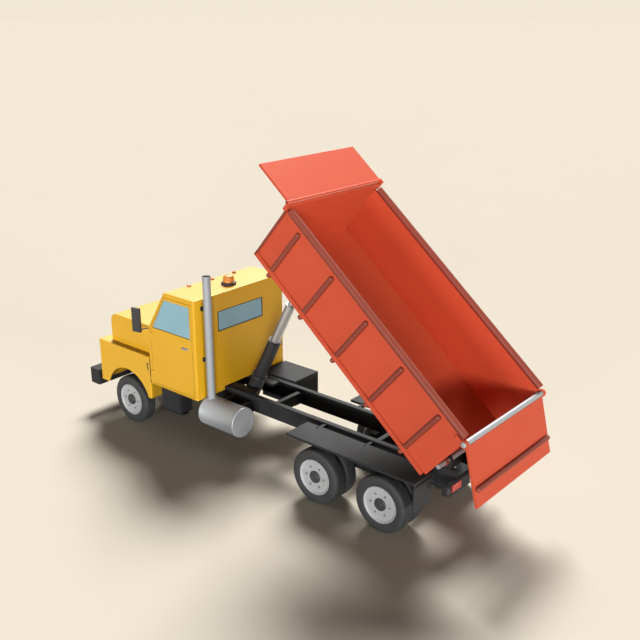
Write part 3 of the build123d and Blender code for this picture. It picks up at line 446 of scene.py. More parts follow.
@dataclass(frozen=True)
class LampLens:
    """Moulded lamp lens with fine flutes."""

    name: str
    tint: Point
    deep: Point
    flutes: float = 420.0
    transmission: float = 0.25
    roughness: float = 0.2

    def make(self) -> bpy.types.Material:
        """Builds the material.

        Returns:
            The material.
        """
        material, sheet, shader = blank_material(self.name)
        place = sheet.parts(sheet.place())
        ridge = sheet.math("SINE", sheet.math("MULTIPLY", place["Y"], self.flutes))
        sheet.fill(shader, {
            "Base Color": sheet.blend(sheet.span(ridge, -1.0, 1.0, 0.0, 0.5), self.tint, self.deep),
            "Normal": soft_edge_normal(sheet, ridge, 0.0015, 0.3, 0.0),
            "Roughness": self.roughness, "Transmission Weight": self.transmission})
        return material


@dataclass(frozen=True)
class SeatCloth:
    """Woven seat fabric."""

    name: str
    warp: Point
    weft: Point
    threads: float = 1500.0
    roughness: float = 0.85
    sheen: float = 0.3

    def make(self) -> bpy.types.Material:
        """Builds the material.

        Returns:
            The material.
        """
        material, sheet, shader = blank_material(self.name)
        weave = sheet.fill(sheet.add("ShaderNodeGroup", node_tree=SharedEffects.weave()), {
            "Warp": self.warp, "Weft": self.weft, "Threads": self.threads}).outputs
        sheet.fill(shader, {
            "Base Color": weave["Color"], "Roughness": self.roughness, "Sheen Weight": self.sheen,
            "Normal": soft_edge_normal(sheet, weave["Height"], 0.001, 0.4, 0.0)})
        return material


class Dress(Enum):
    """Every finish on the truck."""

    CAB_YELLOW = Coating("cab_yellow", (0.93, 0.50, 0.018), (0.84, 0.42, 0.014), roughness=0.40,
                         drift_amount=0.3, specular=0.5, coat=0.06, edge=0.012)
    BED_RED = Coating("bed_red", (0.72, 0.095, 0.039), (0.64, 0.077, 0.029), roughness=0.50, scale=0.9,
                      drift_amount=0.4, specular=0.38, edge=0.006)
    RIB_RED = Coating("rib_red", (0.29, 0.050, 0.028), (0.23, 0.040, 0.023), roughness=0.48, scale=2.6,
                      edge=0.0)
    CHASSIS = Coating("chassis_black", (0.032, 0.033, 0.035), (0.046, 0.045, 0.044), roughness=0.60,
                      drift_amount=0.6, scale=2.2, specular=0.1, depth=0.001, edge=0.005)
    TYRE = Coating("tyre_rubber", (0.034, 0.036, 0.039), (0.046, 0.047, 0.048), roughness=0.66,
                   drift_amount=0.6, dust_amount=0.03, scale=5.0, depth=0.0015, bump=0.25, edge=0.0)
    RIM = Coating("rim_enamel", (0.56, 0.56, 0.57), (0.48, 0.48, 0.48), roughness=0.42, scale=4.0,
                  drift_amount=0.5, edge=0.002)
    HUB = Coating("hub_grey", (0.045, 0.046, 0.05), (0.065, 0.064, 0.062), roughness=0.45, scale=8.0,
                  edge=0.002)
    NUT = Coating("nut_grey", (0.31, 0.31, 0.32), (0.25, 0.25, 0.26), roughness=0.50, scale=8.0, edge=0.002)
    CAST = Coating("cast_iron", (0.05, 0.05, 0.052), (0.075, 0.07, 0.062), roughness=0.62, scale=6.0,
                   drift_amount=0.8, depth=0.003, bump=0.35, edge=0.004)
    TANK = BareMetal("tank_aluminium", (0.50, 0.525, 0.56), (0.43, 0.455, 0.49), stretch=(3.0, 70.0, 70.0),
                     roughness=0.42, metallic=0.35)
    STACK = BareMetal("stack_metal", (0.41, 0.44, 0.47), (0.36, 0.385, 0.41), roughness=0.48, metallic=0.15)
    HOIST_DARK = Coating("hoist_black", (0.029, 0.030, 0.032), (0.040, 0.040, 0.041), roughness=0.44,
                         scale=3.0, edge=0.004)
    HOIST_BRIGHT = BareMetal("hoist_chrome", (0.62, 0.62, 0.62), (0.54, 0.54, 0.55), roughness=0.30,
                             metallic=0.7)
    ROD = BareMetal("rod_steel", (0.46, 0.475, 0.50), (0.39, 0.40, 0.42), stretch=(60.0, 3.0, 60.0),
                    roughness=0.48, metallic=0.2)
    GLASS = Pane("window_glass", (0.36, 0.63, 0.73), (0.31, 0.56, 0.67), transmission=0.10)
    CLEAR = Pane("clear_lens", (0.80, 0.84, 0.86), (0.72, 0.76, 0.80), transmission=0.7)
    RED_LENS = LampLens("red_lens", (0.75, 0.045, 0.02), (0.5, 0.02, 0.012))
    AMBER_LENS = LampLens("amber_lens", (0.88, 0.25, 0.05), (0.76, 0.19, 0.03), transmission=0.1)
    BEACON = LampLens("beacon_orange", (0.90, 0.34, 0.06), (0.80, 0.27, 0.04), flutes=130.0, transmission=0.1,
                      roughness=0.42)
    TRIM = Coating("trim_black", (0.028, 0.029, 0.031), (0.039, 0.040, 0.041), roughness=0.55, scale=7.0,
                   depth=0.0008, bump=0.25, edge=0.004)
    # Black rubber of the mud flaps; the same black on the strips in the cab's fender gaps paints the shade of
    # those gaps.
    RUBBER = Coating("flap_rubber", (0.032, 0.033, 0.034), (0.044, 0.044, 0.044), roughness=0.72, scale=3.0,
                     drift_amount=0.7, depth=0.001, edge=0.003)
    CLOTH = SeatCloth("seat_cloth", (0.055, 0.058, 0.065), (0.11, 0.11, 0.12))
    DASH = Coating("dash_plastic", (0.05, 0.05, 0.052), (0.065, 0.064, 0.062), roughness=0.62, scale=9.0,
                   depth=0.0012, bump=0.35)
    MIRROR = BareMetal("mirror_face", (0.82, 0.84, 0.86), (0.78, 0.80, 0.82), stretch=(5.0, 5.0, 5.0),
                       amount=0.2, roughness=0.14, metallic=1.0, bump=0.02, edge=0.0)
    PLATE = Coating("blank_plate", (0.62, 0.62, 0.60), (0.52, 0.52, 0.50), roughness=0.45, scale=12.0)

    @property
    def material(self) -> bpy.types.Material:
        """Material of this finish, made at its first use."""
        return bpy.data.materials.get(f"{self.value.name}_finish") or self.value.make()


def dress(piece: Piece, finish: Dress) -> None:
    """Gives a piece or a CAD node one finish.

    Args:
        piece: Object to dress.
        finish: Its finish.
    """
    if not piece.material_slots:
        piece.data.materials.append(finish.material)
    for slot in piece.material_slots:
        slot.material = finish.material


# ---------------------------------------------------------------- workbench
class Bench:
    """Modelling steps done with Blender's own operators."""

    @staticmethod
    def pick(*pieces: Piece) -> None:
        """Goes to object mode with only some pieces selected.

        Args:
            *pieces: Pieces to select; the first one becomes active.
        """
        if bpy.context.object and bpy.context.object.mode != "OBJECT":
            bpy.ops.object.mode_set(mode="OBJECT")
        bpy.ops.object.select_all(action="DESELECT")
        for piece in pieces:
            piece.select_set(True)
        if pieces:
            bpy.context.view_layer.objects.active = pieces[0]

    @staticmethod
    def apply_place(piece: Piece, matrix: Matrix | None = None) -> Piece:
        """Moves a piece and puts its place into its mesh.

        Args:
            piece: Piece to move.
            matrix: Where it goes, on top of where it is.

        Returns:
            The piece, at the origin.
        """
        if matrix is not None:
            piece.matrix_world = matrix @ piece.matrix_world
        Bench.pick(piece)
        bpy.ops.object.transform_apply(location=True, rotation=True, scale=True)
        return piece

    @staticmethod
    def choose_faces(piece: Piece, wanted: Callable[[Face], bool]) -> None:
        """Opens a piece in edit mode with only the wanted faces selected.

        Args:
            piece: Piece to open.
            wanted: Says whether a face is selected.
        """
        Bench.pick(piece)
        bpy.context.tool_settings.mesh_select_mode = (False, False, True)
        bpy.ops.object.mode_set(mode="EDIT")
        bpy.ops.mesh.select_all(action="DESELECT")
        bpy.ops.object.mode_set(mode="OBJECT")
        for face in piece.data.polygons:
            face.select = wanted(face)
        bpy.ops.object.mode_set(mode="EDIT")

    @staticmethod
    def pressed(piece: Piece, wanted: Callable[[Face], bool], *steps: tuple[float, float],
                apart: bool = False) -> Piece:
        """Insets some faces of a piece, step by step.

        Args:
            piece: Piece to work on.
            wanted: Says whether a face is inset.
            *steps: Thickness and depth of each inset.
            apart: Whether each face is inset on its own.

        Returns:
            The piece, back in object mode.
        """
        Bench.choose_faces(piece, wanted)
        for thickness, depth in steps:
            bpy.ops.mesh.inset(thickness=thickness, depth=depth, use_individual=apart)
        bpy.ops.object.mode_set(mode="OBJECT")
        return piece

    @staticmethod
    def block(low: Point, high: Point, bevel: float = 0.004, segments: int = 2) -> Piece:
        """Box with rounded edges.

        Args:
            low: Lowest corner.
            high: Highest corner.
            bevel: Width of its rounded edges.
            segments: Steps over each edge.

        Returns:
            The box.
        """
        Bench.pick()
        middle = [(a + b) / 2 for a, b in zip(low, high)]
        size = [b - a for a, b in zip(low, high)]
        bpy.ops.mesh.primitive_cube_add(size=1, location=middle, scale=size)
        piece = Bench.apply_place(bpy.context.object)
        bpy.ops.object.mode_set(mode="EDIT")
        bpy.ops.mesh.select_all(action="SELECT")
        bpy.ops.mesh.bevel(offset=bevel, segments=segments, affect="EDGES")
        bpy.ops.object.mode_set(mode="OBJECT")
        return piece

    @staticmethod
    def turned(section: Section, steps: int = 64) -> Piece:
        """Turns a section about the X axis.

        Args:
            section: (along, radius) points; a closed one ends where it starts.
            steps: Steps in the full turn.

        Returns:
            The turned piece.
        """
        Bench.pick()
        bpy.ops.mesh.primitive_plane_add(size=0.01)
        piece = bpy.context.object
        bpy.ops.object.mode_set(mode="EDIT")
        bpy.ops.mesh.select_mode(type="VERT")
        bpy.ops.mesh.select_all(action="SELECT")
        bpy.ops.mesh.merge(type="CENTER")
        along, radius = section[0]
        bpy.ops.transform.translate(value=(along, 0, radius))
        for start, end in zip(section, section[1:]):
            step = (end[0] - start[0], 0, end[1] - start[1])
            bpy.ops.mesh.extrude_region_move(TRANSFORM_OT_translate={"value": step})
        bpy.ops.mesh.select_all(action="SELECT")
        bpy.ops.mesh.spin(steps=steps, angle=FULL_TURN, center=(0, 0, 0), axis=(1, 0, 0))
        bpy.ops.mesh.select_all(action="SELECT")
        bpy.ops.mesh.remove_doubles(threshold=0.00003)
        bpy.ops.mesh.normals_make_consistent(inside=False)
        bpy.ops.object.mode_set(mode="OBJECT")
        return piece

    @staticmethod
    def flipped(piece: Piece) -> Piece:
        """Mirrors a left-hand piece to the right.

        Args:
            piece: Piece to mirror.

        Returns:
            The piece.
        """
        Bench.apply_place(piece, Matrix.Scale(-1, 4, (0, 1, 0)))
        bpy.ops.object.mode_set(mode="EDIT")
        bpy.ops.mesh.select_all(action="SELECT")
        bpy.ops.mesh.normals_make_consistent(inside=False)
        bpy.ops.object.mode_set(mode="OBJECT")
        return piece

    @staticmethod
    def pipe(points: list[Point], radius: float, closed: bool = False, order: int = 3) -> Piece:
        """Round bar along a smooth line.

        Args:
            points: Points of the line.
            radius: Bar's radius.
            closed: Whether its ends meet.
            order: 2 for straight runs, 3 or more for curves.

        Returns:
            The bar as a mesh.
        """
        Bench.pick()
        bpy.ops.curve.primitive_nurbs_path_add()
        curve = bpy.context.object.data
        curve.splines.clear()
        spline = curve.splines.new("NURBS")
        spline.points.add(len(points) - 1)
        for knot, place in zip(spline.points, points):
            knot.co = (*place, 1.0)
        spline.use_cyclic_u = closed
        spline.use_endpoint_u = not closed
        spline.order_u = order
        spline.resolution_u = 8
        curve.bevel_depth = radius
        curve.bevel_resolution = 4
        curve.use_fill_caps = not closed
        bpy.ops.object.convert(target="MESH")
        return bpy.context.object

    @staticmethod
    def gasket(corners: Section, width: float, thickness: float) -> Piece:
        """Frame round a four-cornered opening, flat in the XY plane.

        Args:
            corners: Its outer corners: left low, right low, left high, right high.
            width: Width of the frame inside them.
            thickness: Thickness, half of it on either side of the plane.

        Returns:
            The frame.
        """
        Bench.pick()
        bpy.ops.mesh.primitive_plane_add(size=1)
        piece = bpy.context.object
        for vertex, corner in zip(piece.data.vertices, corners):
            vertex.co = (*corner, 0)
        Bench.choose_faces(piece, lambda face: True)
        bpy.ops.mesh.inset(thickness=width, depth=0)
        bpy.ops.mesh.delete(type="FACE")
        bpy.ops.object.mode_set(mode="OBJECT")
        body = piece.modifiers.new("thickness", "SOLIDIFY")
        body.thickness = thickness
        body.offset = 0
        edge = piece.modifiers.new("edge", "BEVEL")
        edge.width = min(width, thickness) * 0.3
        edge.segments = 2
        return Bench.with_modifiers(piece)

    @staticmethod
    def oblong_gasket(wide: Span, high: Span, lap: float, width: float, thickness: float) -> Piece:
        """Gasket round a rectangular opening, whose outer edge laps over it on every side."""
        left, right, low, top = wide[0] - lap, wide[1] + lap, high[0] - lap, high[1] + lap
        return Bench.gasket([(left, low), (right, low), (left, top), (right, top)], width, thickness)

    @staticmethod
    def with_modifiers(piece: Piece) -> Piece:
        """Applies every modifier of a piece.

        Args:
            piece: Piece with modifiers.

        Returns:
            The piece.
        """
        Bench.pick(piece)
        for modifier in list(piece.modifiers):
            bpy.ops.object.modifier_apply(modifier=modifier.name)
        return piece

    @staticmethod
    def bolt(radius: float, height: float) -> Piece:
        """Hexagonal bolt head that stands on the YZ plane and points along X.

        Args:
            radius: Radius over its corners.
            height: Height of the head.

        Returns:
            The bolt head with a dished face.
        """
        Bench.pick()
        bpy.ops.mesh.primitive_cylinder_add(vertices=6, radius=radius, depth=height,
                                            location=(height / 2, 0, 0), rotation=(0, QUARTER_TURN, 0))
        piece = Bench.apply_place(bpy.context.object)
        return Bench.pressed(piece, lambda face: face.normal.x > 0.9,
                             (radius * 0.22, radius * 0.12), (radius * 0.2, -radius * 0.1))

    @staticmethod
    def joined(*pieces: Piece) -> Piece:
        """Joins pieces.

        Args:
            *pieces: Pieces to join into the first one.

        Returns:
            The first piece.
        """
        Bench.pick(*pieces)
        if len(pieces) > 1:
            bpy.ops.object.join()
        return pieces[0]

    @staticmethod
    def repeated(piece: Piece, places: list[Matrix]) -> Piece:
        """Copies a piece to several places.

        Args:
            piece: Piece to copy; it is used up.
            places: Where each copy goes.

        Returns:
            All copies as one piece.
        """
        copies = []
        for place in places:
            Bench.pick(piece)
            bpy.ops.object.duplicate(linked=False)
            copies.append(Bench.apply_place(bpy.context.object, place))
        bpy.data.objects.remove(piece)
        return Bench.joined(*copies)

    @staticmethod
    def twinned(piece: Piece, apart: float) -> Piece:
        """Joins a left-hand piece and its copy, so far apart, on the right."""
        return Bench.repeated(piece, [Matrix.Identity(4), shift(0, -apart, 0)])

    @staticmethod
    def ring_places(count: int, radius: float, along: float) -> list[Matrix]:
        """Places round the X axis, all at one radius and one distance along it."""
        turns = [spun(FULL_TURN * (index + 0.5) / count, "X") for index in range(count)]
        return [turn @ shift(along, 0, radius) for turn in turns]


def keep(piece: Piece, name: str, body: str, finish: Dress, matrix: Matrix | None = None,
         smooth: float = 40.0) -> Piece:
    """Finishes a piece: place, shading, material and body.

    Args:
        piece: Piece to finish.
        name: Its name.
        body: Body that it rides on.
        finish: Its finish.
        matrix: Frame that it was modelled in.
        smooth: Edges sharper than these degrees stay sharp.

    Returns:
        The piece.
    """
    piece.name = name
    piece.data.name = name
    Bench.apply_place(piece, matrix)
    bpy.ops.object.shade_smooth_by_angle(angle=math.radians(smooth))
    dress(piece, finish)
    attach(piece, body)
    LOG.info("made %s on %s, %d faces", name, body, len(piece.data.polygons))
    return piece


# ---------------------------------------------------------------- wheels
@dataclass
class Wheel:
    """One wheel: its tyres, rims, hub and nuts. Its frame has X outwards along the axle."""

    name: str
    place: float
    side: Side
    faces: tuple[float, ...]
    tyre_width: float = 0.265
    tyre_steps: int = 96
    rim_radius: float = 0.328
    disc_recess: float = 0.035
    hub_radius: float = 0.112
    hub_proud: float = 0.028
    nut_ring: float = 0.192
    nut_count: int = 6
    notch_reach: Span = (0.487, 0.498)
    notch_from: float = 0.1

    @property
    def body(self) -> str:
        """Body that it rides on."""
        return f"{self.name}_wheel"

    @property
    def matrix(self) -> Matrix:
        """Frame of the wheel."""
        return shift(behind(self.place), 0, AXLE_HEIGHT) @ spun(self.side.value * QUARTER_TURN, "Z")

    def build(self) -> None:
        """Builds all its pieces."""
        self.build_tyres()
        self.build_rims()
        self.build_hub()

    def tyre_section(self) -> Section:
        """Outline of one tyre about its middle: bead, sidewall, shoulder and grooved tread.

        Returns:
            The closed section.
        """
        half = [(0.1085, 0.3282), (0.1205, 0.3345), (0.1290, 0.3560), (0.1322, 0.3900), (0.1325, 0.4200),
                (0.1302, 0.4480), (0.1245, 0.4690), (0.1130, 0.4870), (0.1000, 0.4975), (0.0760, 0.5022),
                (0.0742, 0.4920), (0.0668, 0.4920), (0.0650, 0.5034), (0.0270, 0.5046), (0.0252, 0.4930),
                (0.0178, 0.4930), (0.0160, 0.5048), (0.0, 0.5050)]
        other = [(-along, radius) for along, radius in reversed(half[:-1])]
        return half + other + half[:1]

    def build_tyres(self) -> None:
        """Tyres with round sidewalls, four grooves and notched shoulders."""
        def is_notch(face: Face) -> bool:
            """Whether a face lies on a shoulder, in every second step of the turn.

            Args:
                face: Face of the tyre.

            Returns:
                True for a face of a notch.
            """
            reach = math.hypot(face.center.y, face.center.z)
            turn = math.atan2(face.center.y, face.center.z) / FULL_TURN * self.tyre_steps
            low, high = self.notch_reach
            return low < reach < high and abs(face.center.x) > self.notch_from and math.floor(turn) % 2 == 0

        tyre = Bench.turned(self.tyre_section(), self.tyre_steps)
        Bench.pressed(tyre, is_notch, (0.003, -0.009), apart=True)
        tyres = Bench.repeated(tyre, [shift(face - self.tyre_width / 2, 0, 0) for face in self.faces])
        keep(tyres, f"{self.name}_tread_and_walls", self.body, Dress.TYRE, self.matrix)
        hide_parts(f"{self.name}_tyre")

    def build_rims(self) -> None:
        """Rims: a lip, a rounded well and a flat disc behind it."""
        edge = self.rim_radius - 0.0005
        disc = -self.disc_recess
        back = -self.tyre_width
        section = [(back + 0.002, edge), (-0.014, edge), (-0.008, edge - 0.002), (-0.006, edge - 0.007),
                   (-0.009, edge - 0.016), (-0.020, edge - 0.024), (-0.030, edge - 0.029),
                   (disc + 0.0005, edge - 0.037), (disc, edge - 0.050), (disc, 0.128), (disc - 0.002, 0.118),
                   (disc - 0.002, 0.098), (disc - 0.022, 0.098), (disc - 0.022, edge - 0.06),
                   (disc - 0.027, edge - 0.042), (disc - 0.038, edge - 0.031), (back + 0.008, edge - 0.029),
                   (back + 0.002, edge - 0.024), (back + 0.002, edge)]
        rim = Bench.turned(section, 72)
        rims = Bench.repeated(rim, [shift(face, 0, 0) for face in self.faces])
        keep(rims, f"{self.name}_rim_and_disc", self.body, Dress.RIM, self.matrix)
        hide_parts(f"{self.name}_rim")

    def build_hub(self) -> None:
        """Dark hub with its cap and bolts, and the nuts on the disc."""
        disc = self.faces[0] - self.disc_recess
        front = disc + self.hub_proud
        back = self.faces[-1] - self.tyre_width + 0.005
        bore_end = disc + 0.0003
        reach = self.hub_radius
        hub = Bench.turned([
            (bore_end, 0.0), (bore_end, 0.04205), (back, 0.04205), (back, reach - 0.006), (back + 0.006, reach),
            (disc + 0.004, reach), (front - 0.010, reach - 0.002), (front - 0.003, reach - 0.008),
            (front, reach - 0.018), (front, 0.066), (front - 0.003, 0.062), (front - 0.003, 0.058),
            (front + 0.004, 0.052), (front + 0.006, 0.044), (front + 0.006, 0.0)], 48)
        bolts = Bench.repeated(Bench.bolt(0.010, 0.007), Bench.ring_places(8, 0.082, front - 0.0005))
        keep(Bench.joined(hub, bolts), f"{self.name}_hub_and_cap", self.body, Dress.HUB, self.matrix)
        nuts = Bench.repeated(Bench.bolt(0.020, 0.020),
                              Bench.ring_places(self.nut_count, self.nut_ring, disc - 0.001))
        keep(nuts, f"{self.name}_nuts", self.body, Dress.NUT, self.matrix)


# ---------------------------------------------------------------- cab
@dataclass
class Door:
    """What is fitted to one door: handle, window seal and inner card."""

    side: Side
    face_y: float = 1.203
    wall: float = 0.05
    handle_x: Span = (1.717, 1.889)
    handle_z: Span = (2.064, 2.104)
    window: tuple[Span, ...] = ((0.858, 2.299), (1.958, 2.299), (1.245, 2.933), (1.958, 2.933))
    card_x: Span = (0.86, 1.95)
    card_z: Span = (1.24, 2.25)
    rest_z: Span = (1.86, 1.92)

    def build(self) -> None:
        """Builds all its pieces."""
        self.build_handle()
        self.build_seal()
        self.build_card()

    def fit(self, piece: Piece, name: str, finish: Dress) -> None:
        """Keeps a piece that was modelled on the left-hand door.

        Args:
            piece: Piece to finish.
            name: Last word of its name.
            finish: Its finish.
        """
        if self.side is Side.RIGHT:
            Bench.flipped(piece)
        keep(piece, f"{self.side.word}_door_{name}", f"{self.side.word}_door", finish)

    def build_handle(self) -> None:
        """Pull handle on two feet over a shallow plate."""
        front, rear = map(behind, self.handle_x)
        low, high = self.handle_z
        face = self.face_y
        plate = Bench.block((rear, face - 0.001, low), (front, face + 0.006, high), 0.003)
        bar = Bench.block((rear + 0.012, face + 0.020, low + 0.010),
                          (front - 0.012, face + 0.034, high - 0.010), 0.006, 3)
        feet = [Bench.block((x - 0.009, face + 0.004, low + 0.011),
                            (x + 0.009, face + 0.030, high - 0.011), 0.003)
                for x in (rear + 0.026, front - 0.026)]
        self.fit(Bench.joined(bar, plate, *feet), "handle", Dress.ROD)

    def build_seal(self) -> None:
        """Rubber strip round the glass, in the frame of the outer face: X aft or forward, Y up and Z out."""
        seal = Bench.gasket([(-self.side.value * behind(x), z) for x, z in self.window], 0.005, 0.024)
        turn = AFT if self.side is Side.LEFT else Matrix.Identity(4)
        place = shift(0, self.side.value * (self.face_y - 0.028), 0) @ turn @ spun(QUARTER_TURN, "X")
        keep(seal, f"{self.side.word}_window_seal", f"{self.side.word}_door", Dress.TRIM, place)

    def build_card(self) -> None:
        """Padded card with an armrest and a pull on the door's inside."""
        front, rear = map(behind, self.card_x)
        inner = self.face_y - self.wall
        card = Bench.block((rear, inner - 0.014, self.card_z[0]), (front, inner, self.card_z[1]), 0.006)
        Bench.pressed(card, lambda face: face.normal.y < -0.9 and face.area > 0.5, (0.07, 0), (0.008, -0.005))
        low, high = self.rest_z
        rest = Bench.block((rear + 0.25, inner - 0.075, low), (front - 0.22, inner - 0.010, high), 0.014, 3)
        pull = Bench.pipe([(front - 0.10, inner - 0.012, 1.95), (front - 0.10, inner - 0.045, 1.97),
                           (front - 0.16, inner - 0.045, 2.09), (front - 0.16, inner - 0.012, 2.11)], 0.009)
        self.fit(Bench.joined(card, rest, pull), "card", Dress.DASH)


@dataclass
class Cab:
    """Window seals, wipers, lamps, seats, dashboard and steps of the cab."""

    rear_x: float = 2.093
    window_half: float = 0.599
    window_z: Span = (2.339, 2.727)
    screen_along: Span = (0.095, 0.929)
    screen_half: float = 1.085
    screen_lap: float = 0.012
    roof: float = 3.079
    roof_lamp_y: tuple[float, ...] = (-0.605, 0.0, 0.605)
    roof_lamp_x: float = 1.32
    beacon_x: float = 1.79
    mirror_place: Point = (0.565, 1.333, 2.42)
    mirror_turn: float = 12.0
    floor: float = 1.22
    seat_x: Span = (1.432, 1.918)
    seat_y: Span = (0.302, 0.798)
    seat_lean: float = 5.0
    dash_x: Span = (0.772, 1.008)
    dash_top: float = 2.115
    wheel_reach: float = 0.214
    step_z: float = 0.655
    tread_x: float = 1.29
    ledge_x: float = 1.33
    ledge_y: float = 1.11
    wiper_y: Span = (-0.30, 0.62)
    dial_y: tuple[float, ...] = (0.40, 0.50, 0.60, 0.70)
    vent_y: tuple[float, ...] = (-0.2, 0.14, 0.98)
    column_foot: Point = (0.98, 0.55, 1.93)
    column_head: Point = (1.19, 0.55, 2.05)
    corner_x: Span = (0.706, 0.7195)
    corner_apart: float = 2.3495

    def build(self) -> None:
        """Builds all its pieces."""
        self.build_seals()
        self.build_wipers()
        self.build_roof_lamps()
        self.build_beacon()
        self.build_mirror_panes()
        self.build_seats()
        self.build_dashboard()
        self.build_steering_wheel()
        self.build_fender_gap_shade_strips()
        self.build_steps()

    def build_seals(self) -> None:
        """Rubber seals of the rear window and the windscreen, with the bar between its panes."""
        seal = Bench.oblong_gasket((-self.window_half, self.window_half), self.window_z, 0.008, 0.014, 0.016)
        keep(seal, "rear_window_seal", "chassis", Dress.TRIM, shift(behind(self.rear_x), 0, 0) @ REAR_WALL_TURN)
        start, end = self.screen_along
        lap = self.screen_lap
        seal = Bench.oblong_gasket(self.screen_along, (-self.screen_half, self.screen_half), lap, 0.030, 0.020)
        bar = Bench.block((start - lap, -0.016, -0.010), (end + lap, 0.016, 0.020), 0.005)
        keep(Bench.joined(seal, bar), "screen_seal", "chassis", Dress.TRIM, SCREEN_MATRIX)

    def build_wipers(self) -> None:
        """Two wipers parked along the foot of the windscreen."""
        wipers = []
        for pivot in self.wiper_y:
            arm = Bench.pipe([(0.045, pivot, -0.010), (0.060, pivot, -0.034), (0.10, pivot - 0.12, -0.030),
                              (0.145, pivot - 0.36, -0.014)], 0.006)
            blade = Bench.block((0.139, pivot - 0.62, -0.016), (0.151, pivot - 0.10, -0.002), 0.002)
            spindle = Bench.turned([(0.0, 0.0), (0.0, 0.016), (0.026, 0.014), (0.030, 0.008), (0.030, 0.0)], 20)
            Bench.apply_place(spindle, shift(0.045, pivot, 0.0) @ spun(QUARTER_TURN, "Y"))
            wipers.append(Bench.joined(arm, blade, spindle))
        keep(Bench.joined(*wipers), "wipers", "chassis", Dress.TRIM, SCREEN_MATRIX)

    def build_roof_lamps(self) -> None:
        """Three amber marker lamps, each a round lens on a dark foot."""
        places = [shift(behind(self.roof_lamp_x), y, self.roof) @ UPWARD for y in self.roof_lamp_y]
        foot = Bench.turned([(-0.001, 0.0), (-0.001, 0.046), (0.005, 0.046), (0.008, 0.041), (0.008, 0.0)], 28)
        keep(Bench.repeated(foot, places), "roof_lamp_feet", "chassis", Dress.TRIM)
        lens = Bench.turned([(0.007, 0.0), (0.007, 0.040), (0.022, 0.039), (0.030, 0.034), (0.0352, 0.024),
                             (0.0372, 0.012), (0.0375, 0.0)], 28)
        lenses = keep(Bench.repeated(lens, places), "roof_lamp_lenses", "chassis", Dress.AMBER_LENS)
        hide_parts("roof_lamps")

    def build_beacon(self) -> None:
        """Orange beacon cap with stepped rings over a dark foot."""
        place = shift(behind(self.beacon_x), 0, self.roof) @ UPWARD
        cap = Bench.turned([
            (0.046, 0.0), (0.046, 0.1100), (0.056, 0.1115), (0.064, 0.1085), (0.088, 0.1082),
            (0.091, 0.1062), (0.094, 0.1082), (0.120, 0.1070), (0.123, 0.1050), (0.126, 0.1065),
            (0.146, 0.1030), (0.160, 0.0960), (0.170, 0.0840), (0.1765, 0.0660), (0.1790, 0.0400),
            (0.1797, 0.0)], 56)
        keep(cap, "beacon_cap", "chassis", Dress.BEACON, place)
        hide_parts("beacon_lens")
        foot = Bench.turned([(-0.001, 0.0), (-0.001, 0.146), (0.012, 0.150), (0.034, 0.148), (0.046, 0.136),
                             (0.0500, 0.118), (0.0500, 0.0)], 56)
        keep(foot, "beacon_foot", "chassis", Dress.TRIM, place)
        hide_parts("beacon_base")

    def build_mirror_panes(self) -> None:
        """Silvered panes set in the faces of the mirrors that look to the cab."""
        x, y, z = self.mirror_place
        for side in Side:
            place = shift(behind(x), side.value * y, z) @ spun(math.radians(side.value * self.mirror_turn), "Z")
            near, far = sorted((-side.value * 0.025, -side.value * 0.028))
            pane = Bench.block((-0.082, near, -0.225), (0.082, far, 0.225), 0.002)
            keep(pane, f"{side.word}_mirror_pane", "chassis", Dress.MIRROR, place)

    def build_seats(self) -> None:
        """Crowned cushions and backrests on dark pedestals."""
        front, rear = map(behind, self.seat_x)
        for side in Side:
            low, high = sorted(side.value * y for y in self.seat_y)
            pedestal = Bench.block((rear + 0.03, low + 0.06, self.floor), (front - 0.05, high - 0.06, 1.49),
                                   0.02, 3)
            shell = Bench.block((rear + 0.005, low + 0.01, 1.485), (front - 0.005, high - 0.01, 1.53), 0.016, 3)
            base = Bench.joined(pedestal, shell)
            keep(base, f"{side.word}_seat_base", "chassis", Dress.DASH)
            cushion = self.crowned_pad((rear, low, 1.522), (front, high, 1.638))
            keep(cushion, f"{side.word}_seat_cushion", "chassis", Dress.CLOTH, smooth=180)
            back = self.crowned_pad((-0.055, low, 0.0), (0.05, high, 0.68))
            lean = shift(rear + 0.045, 0, 1.645) @ spun(-math.radians(self.seat_lean), "Y")
            keep(back, f"{side.word}_seat_back", "chassis", Dress.CLOTH, lean, smooth=180)
            if side is Side.LEFT:
                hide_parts("seats")

    @staticmethod
    def crowned_pad(low: Point, high: Point) -> Piece:
        """Pad whose broad faces swell and whose sides pull in between the corners.

        Args:
            low: Lowest corner.
            high: Highest corner.

        Returns:
            The pad.
        """
        pad = Bench.block(low, high, 0.028, 2)
        middle = (Vector(low) + Vector(high)) / 2
        half = (Vector(high) - Vector(low)) / 2
        thin = min(range(3), key=lambda axis: half[axis])
        Bench.choose_faces(pad, lambda face: abs(face.normal[thin]) > 0.9)
        bpy.ops.mesh.inset(thickness=0.035, depth=-0.006)
        bpy.ops.mesh.inset(thickness=0.020, depth=0.008)
        bpy.ops.mesh.select_all(action="SELECT")
        bpy.ops.mesh.subdivide(number_cuts=3)
        bpy.ops.object.mode_set(mode="OBJECT")
        wide = [axis for axis in range(3) if axis != thin]
        for vertex in pad.data.vertices:
            offset = [(vertex.co[axis] - middle[axis]) / half[axis] for axis in range(3)]
            crown = (1 - offset[wide[0]] ** 2) * (1 - offset[wide[1]] ** 2)
            vertex.co[thin] -= offset[thin] * (1 - crown) * 0.012
            for axis, other in (wide, reversed(wide)):
                vertex.co[axis] -= offset[axis] * (1 - offset[other] ** 2) * 0.012
        smooth = pad.modifiers.new("smooth", "SUBSURF")
        smooth.levels = smooth.render_levels = 1
        return Bench.with_modifiers(pad)

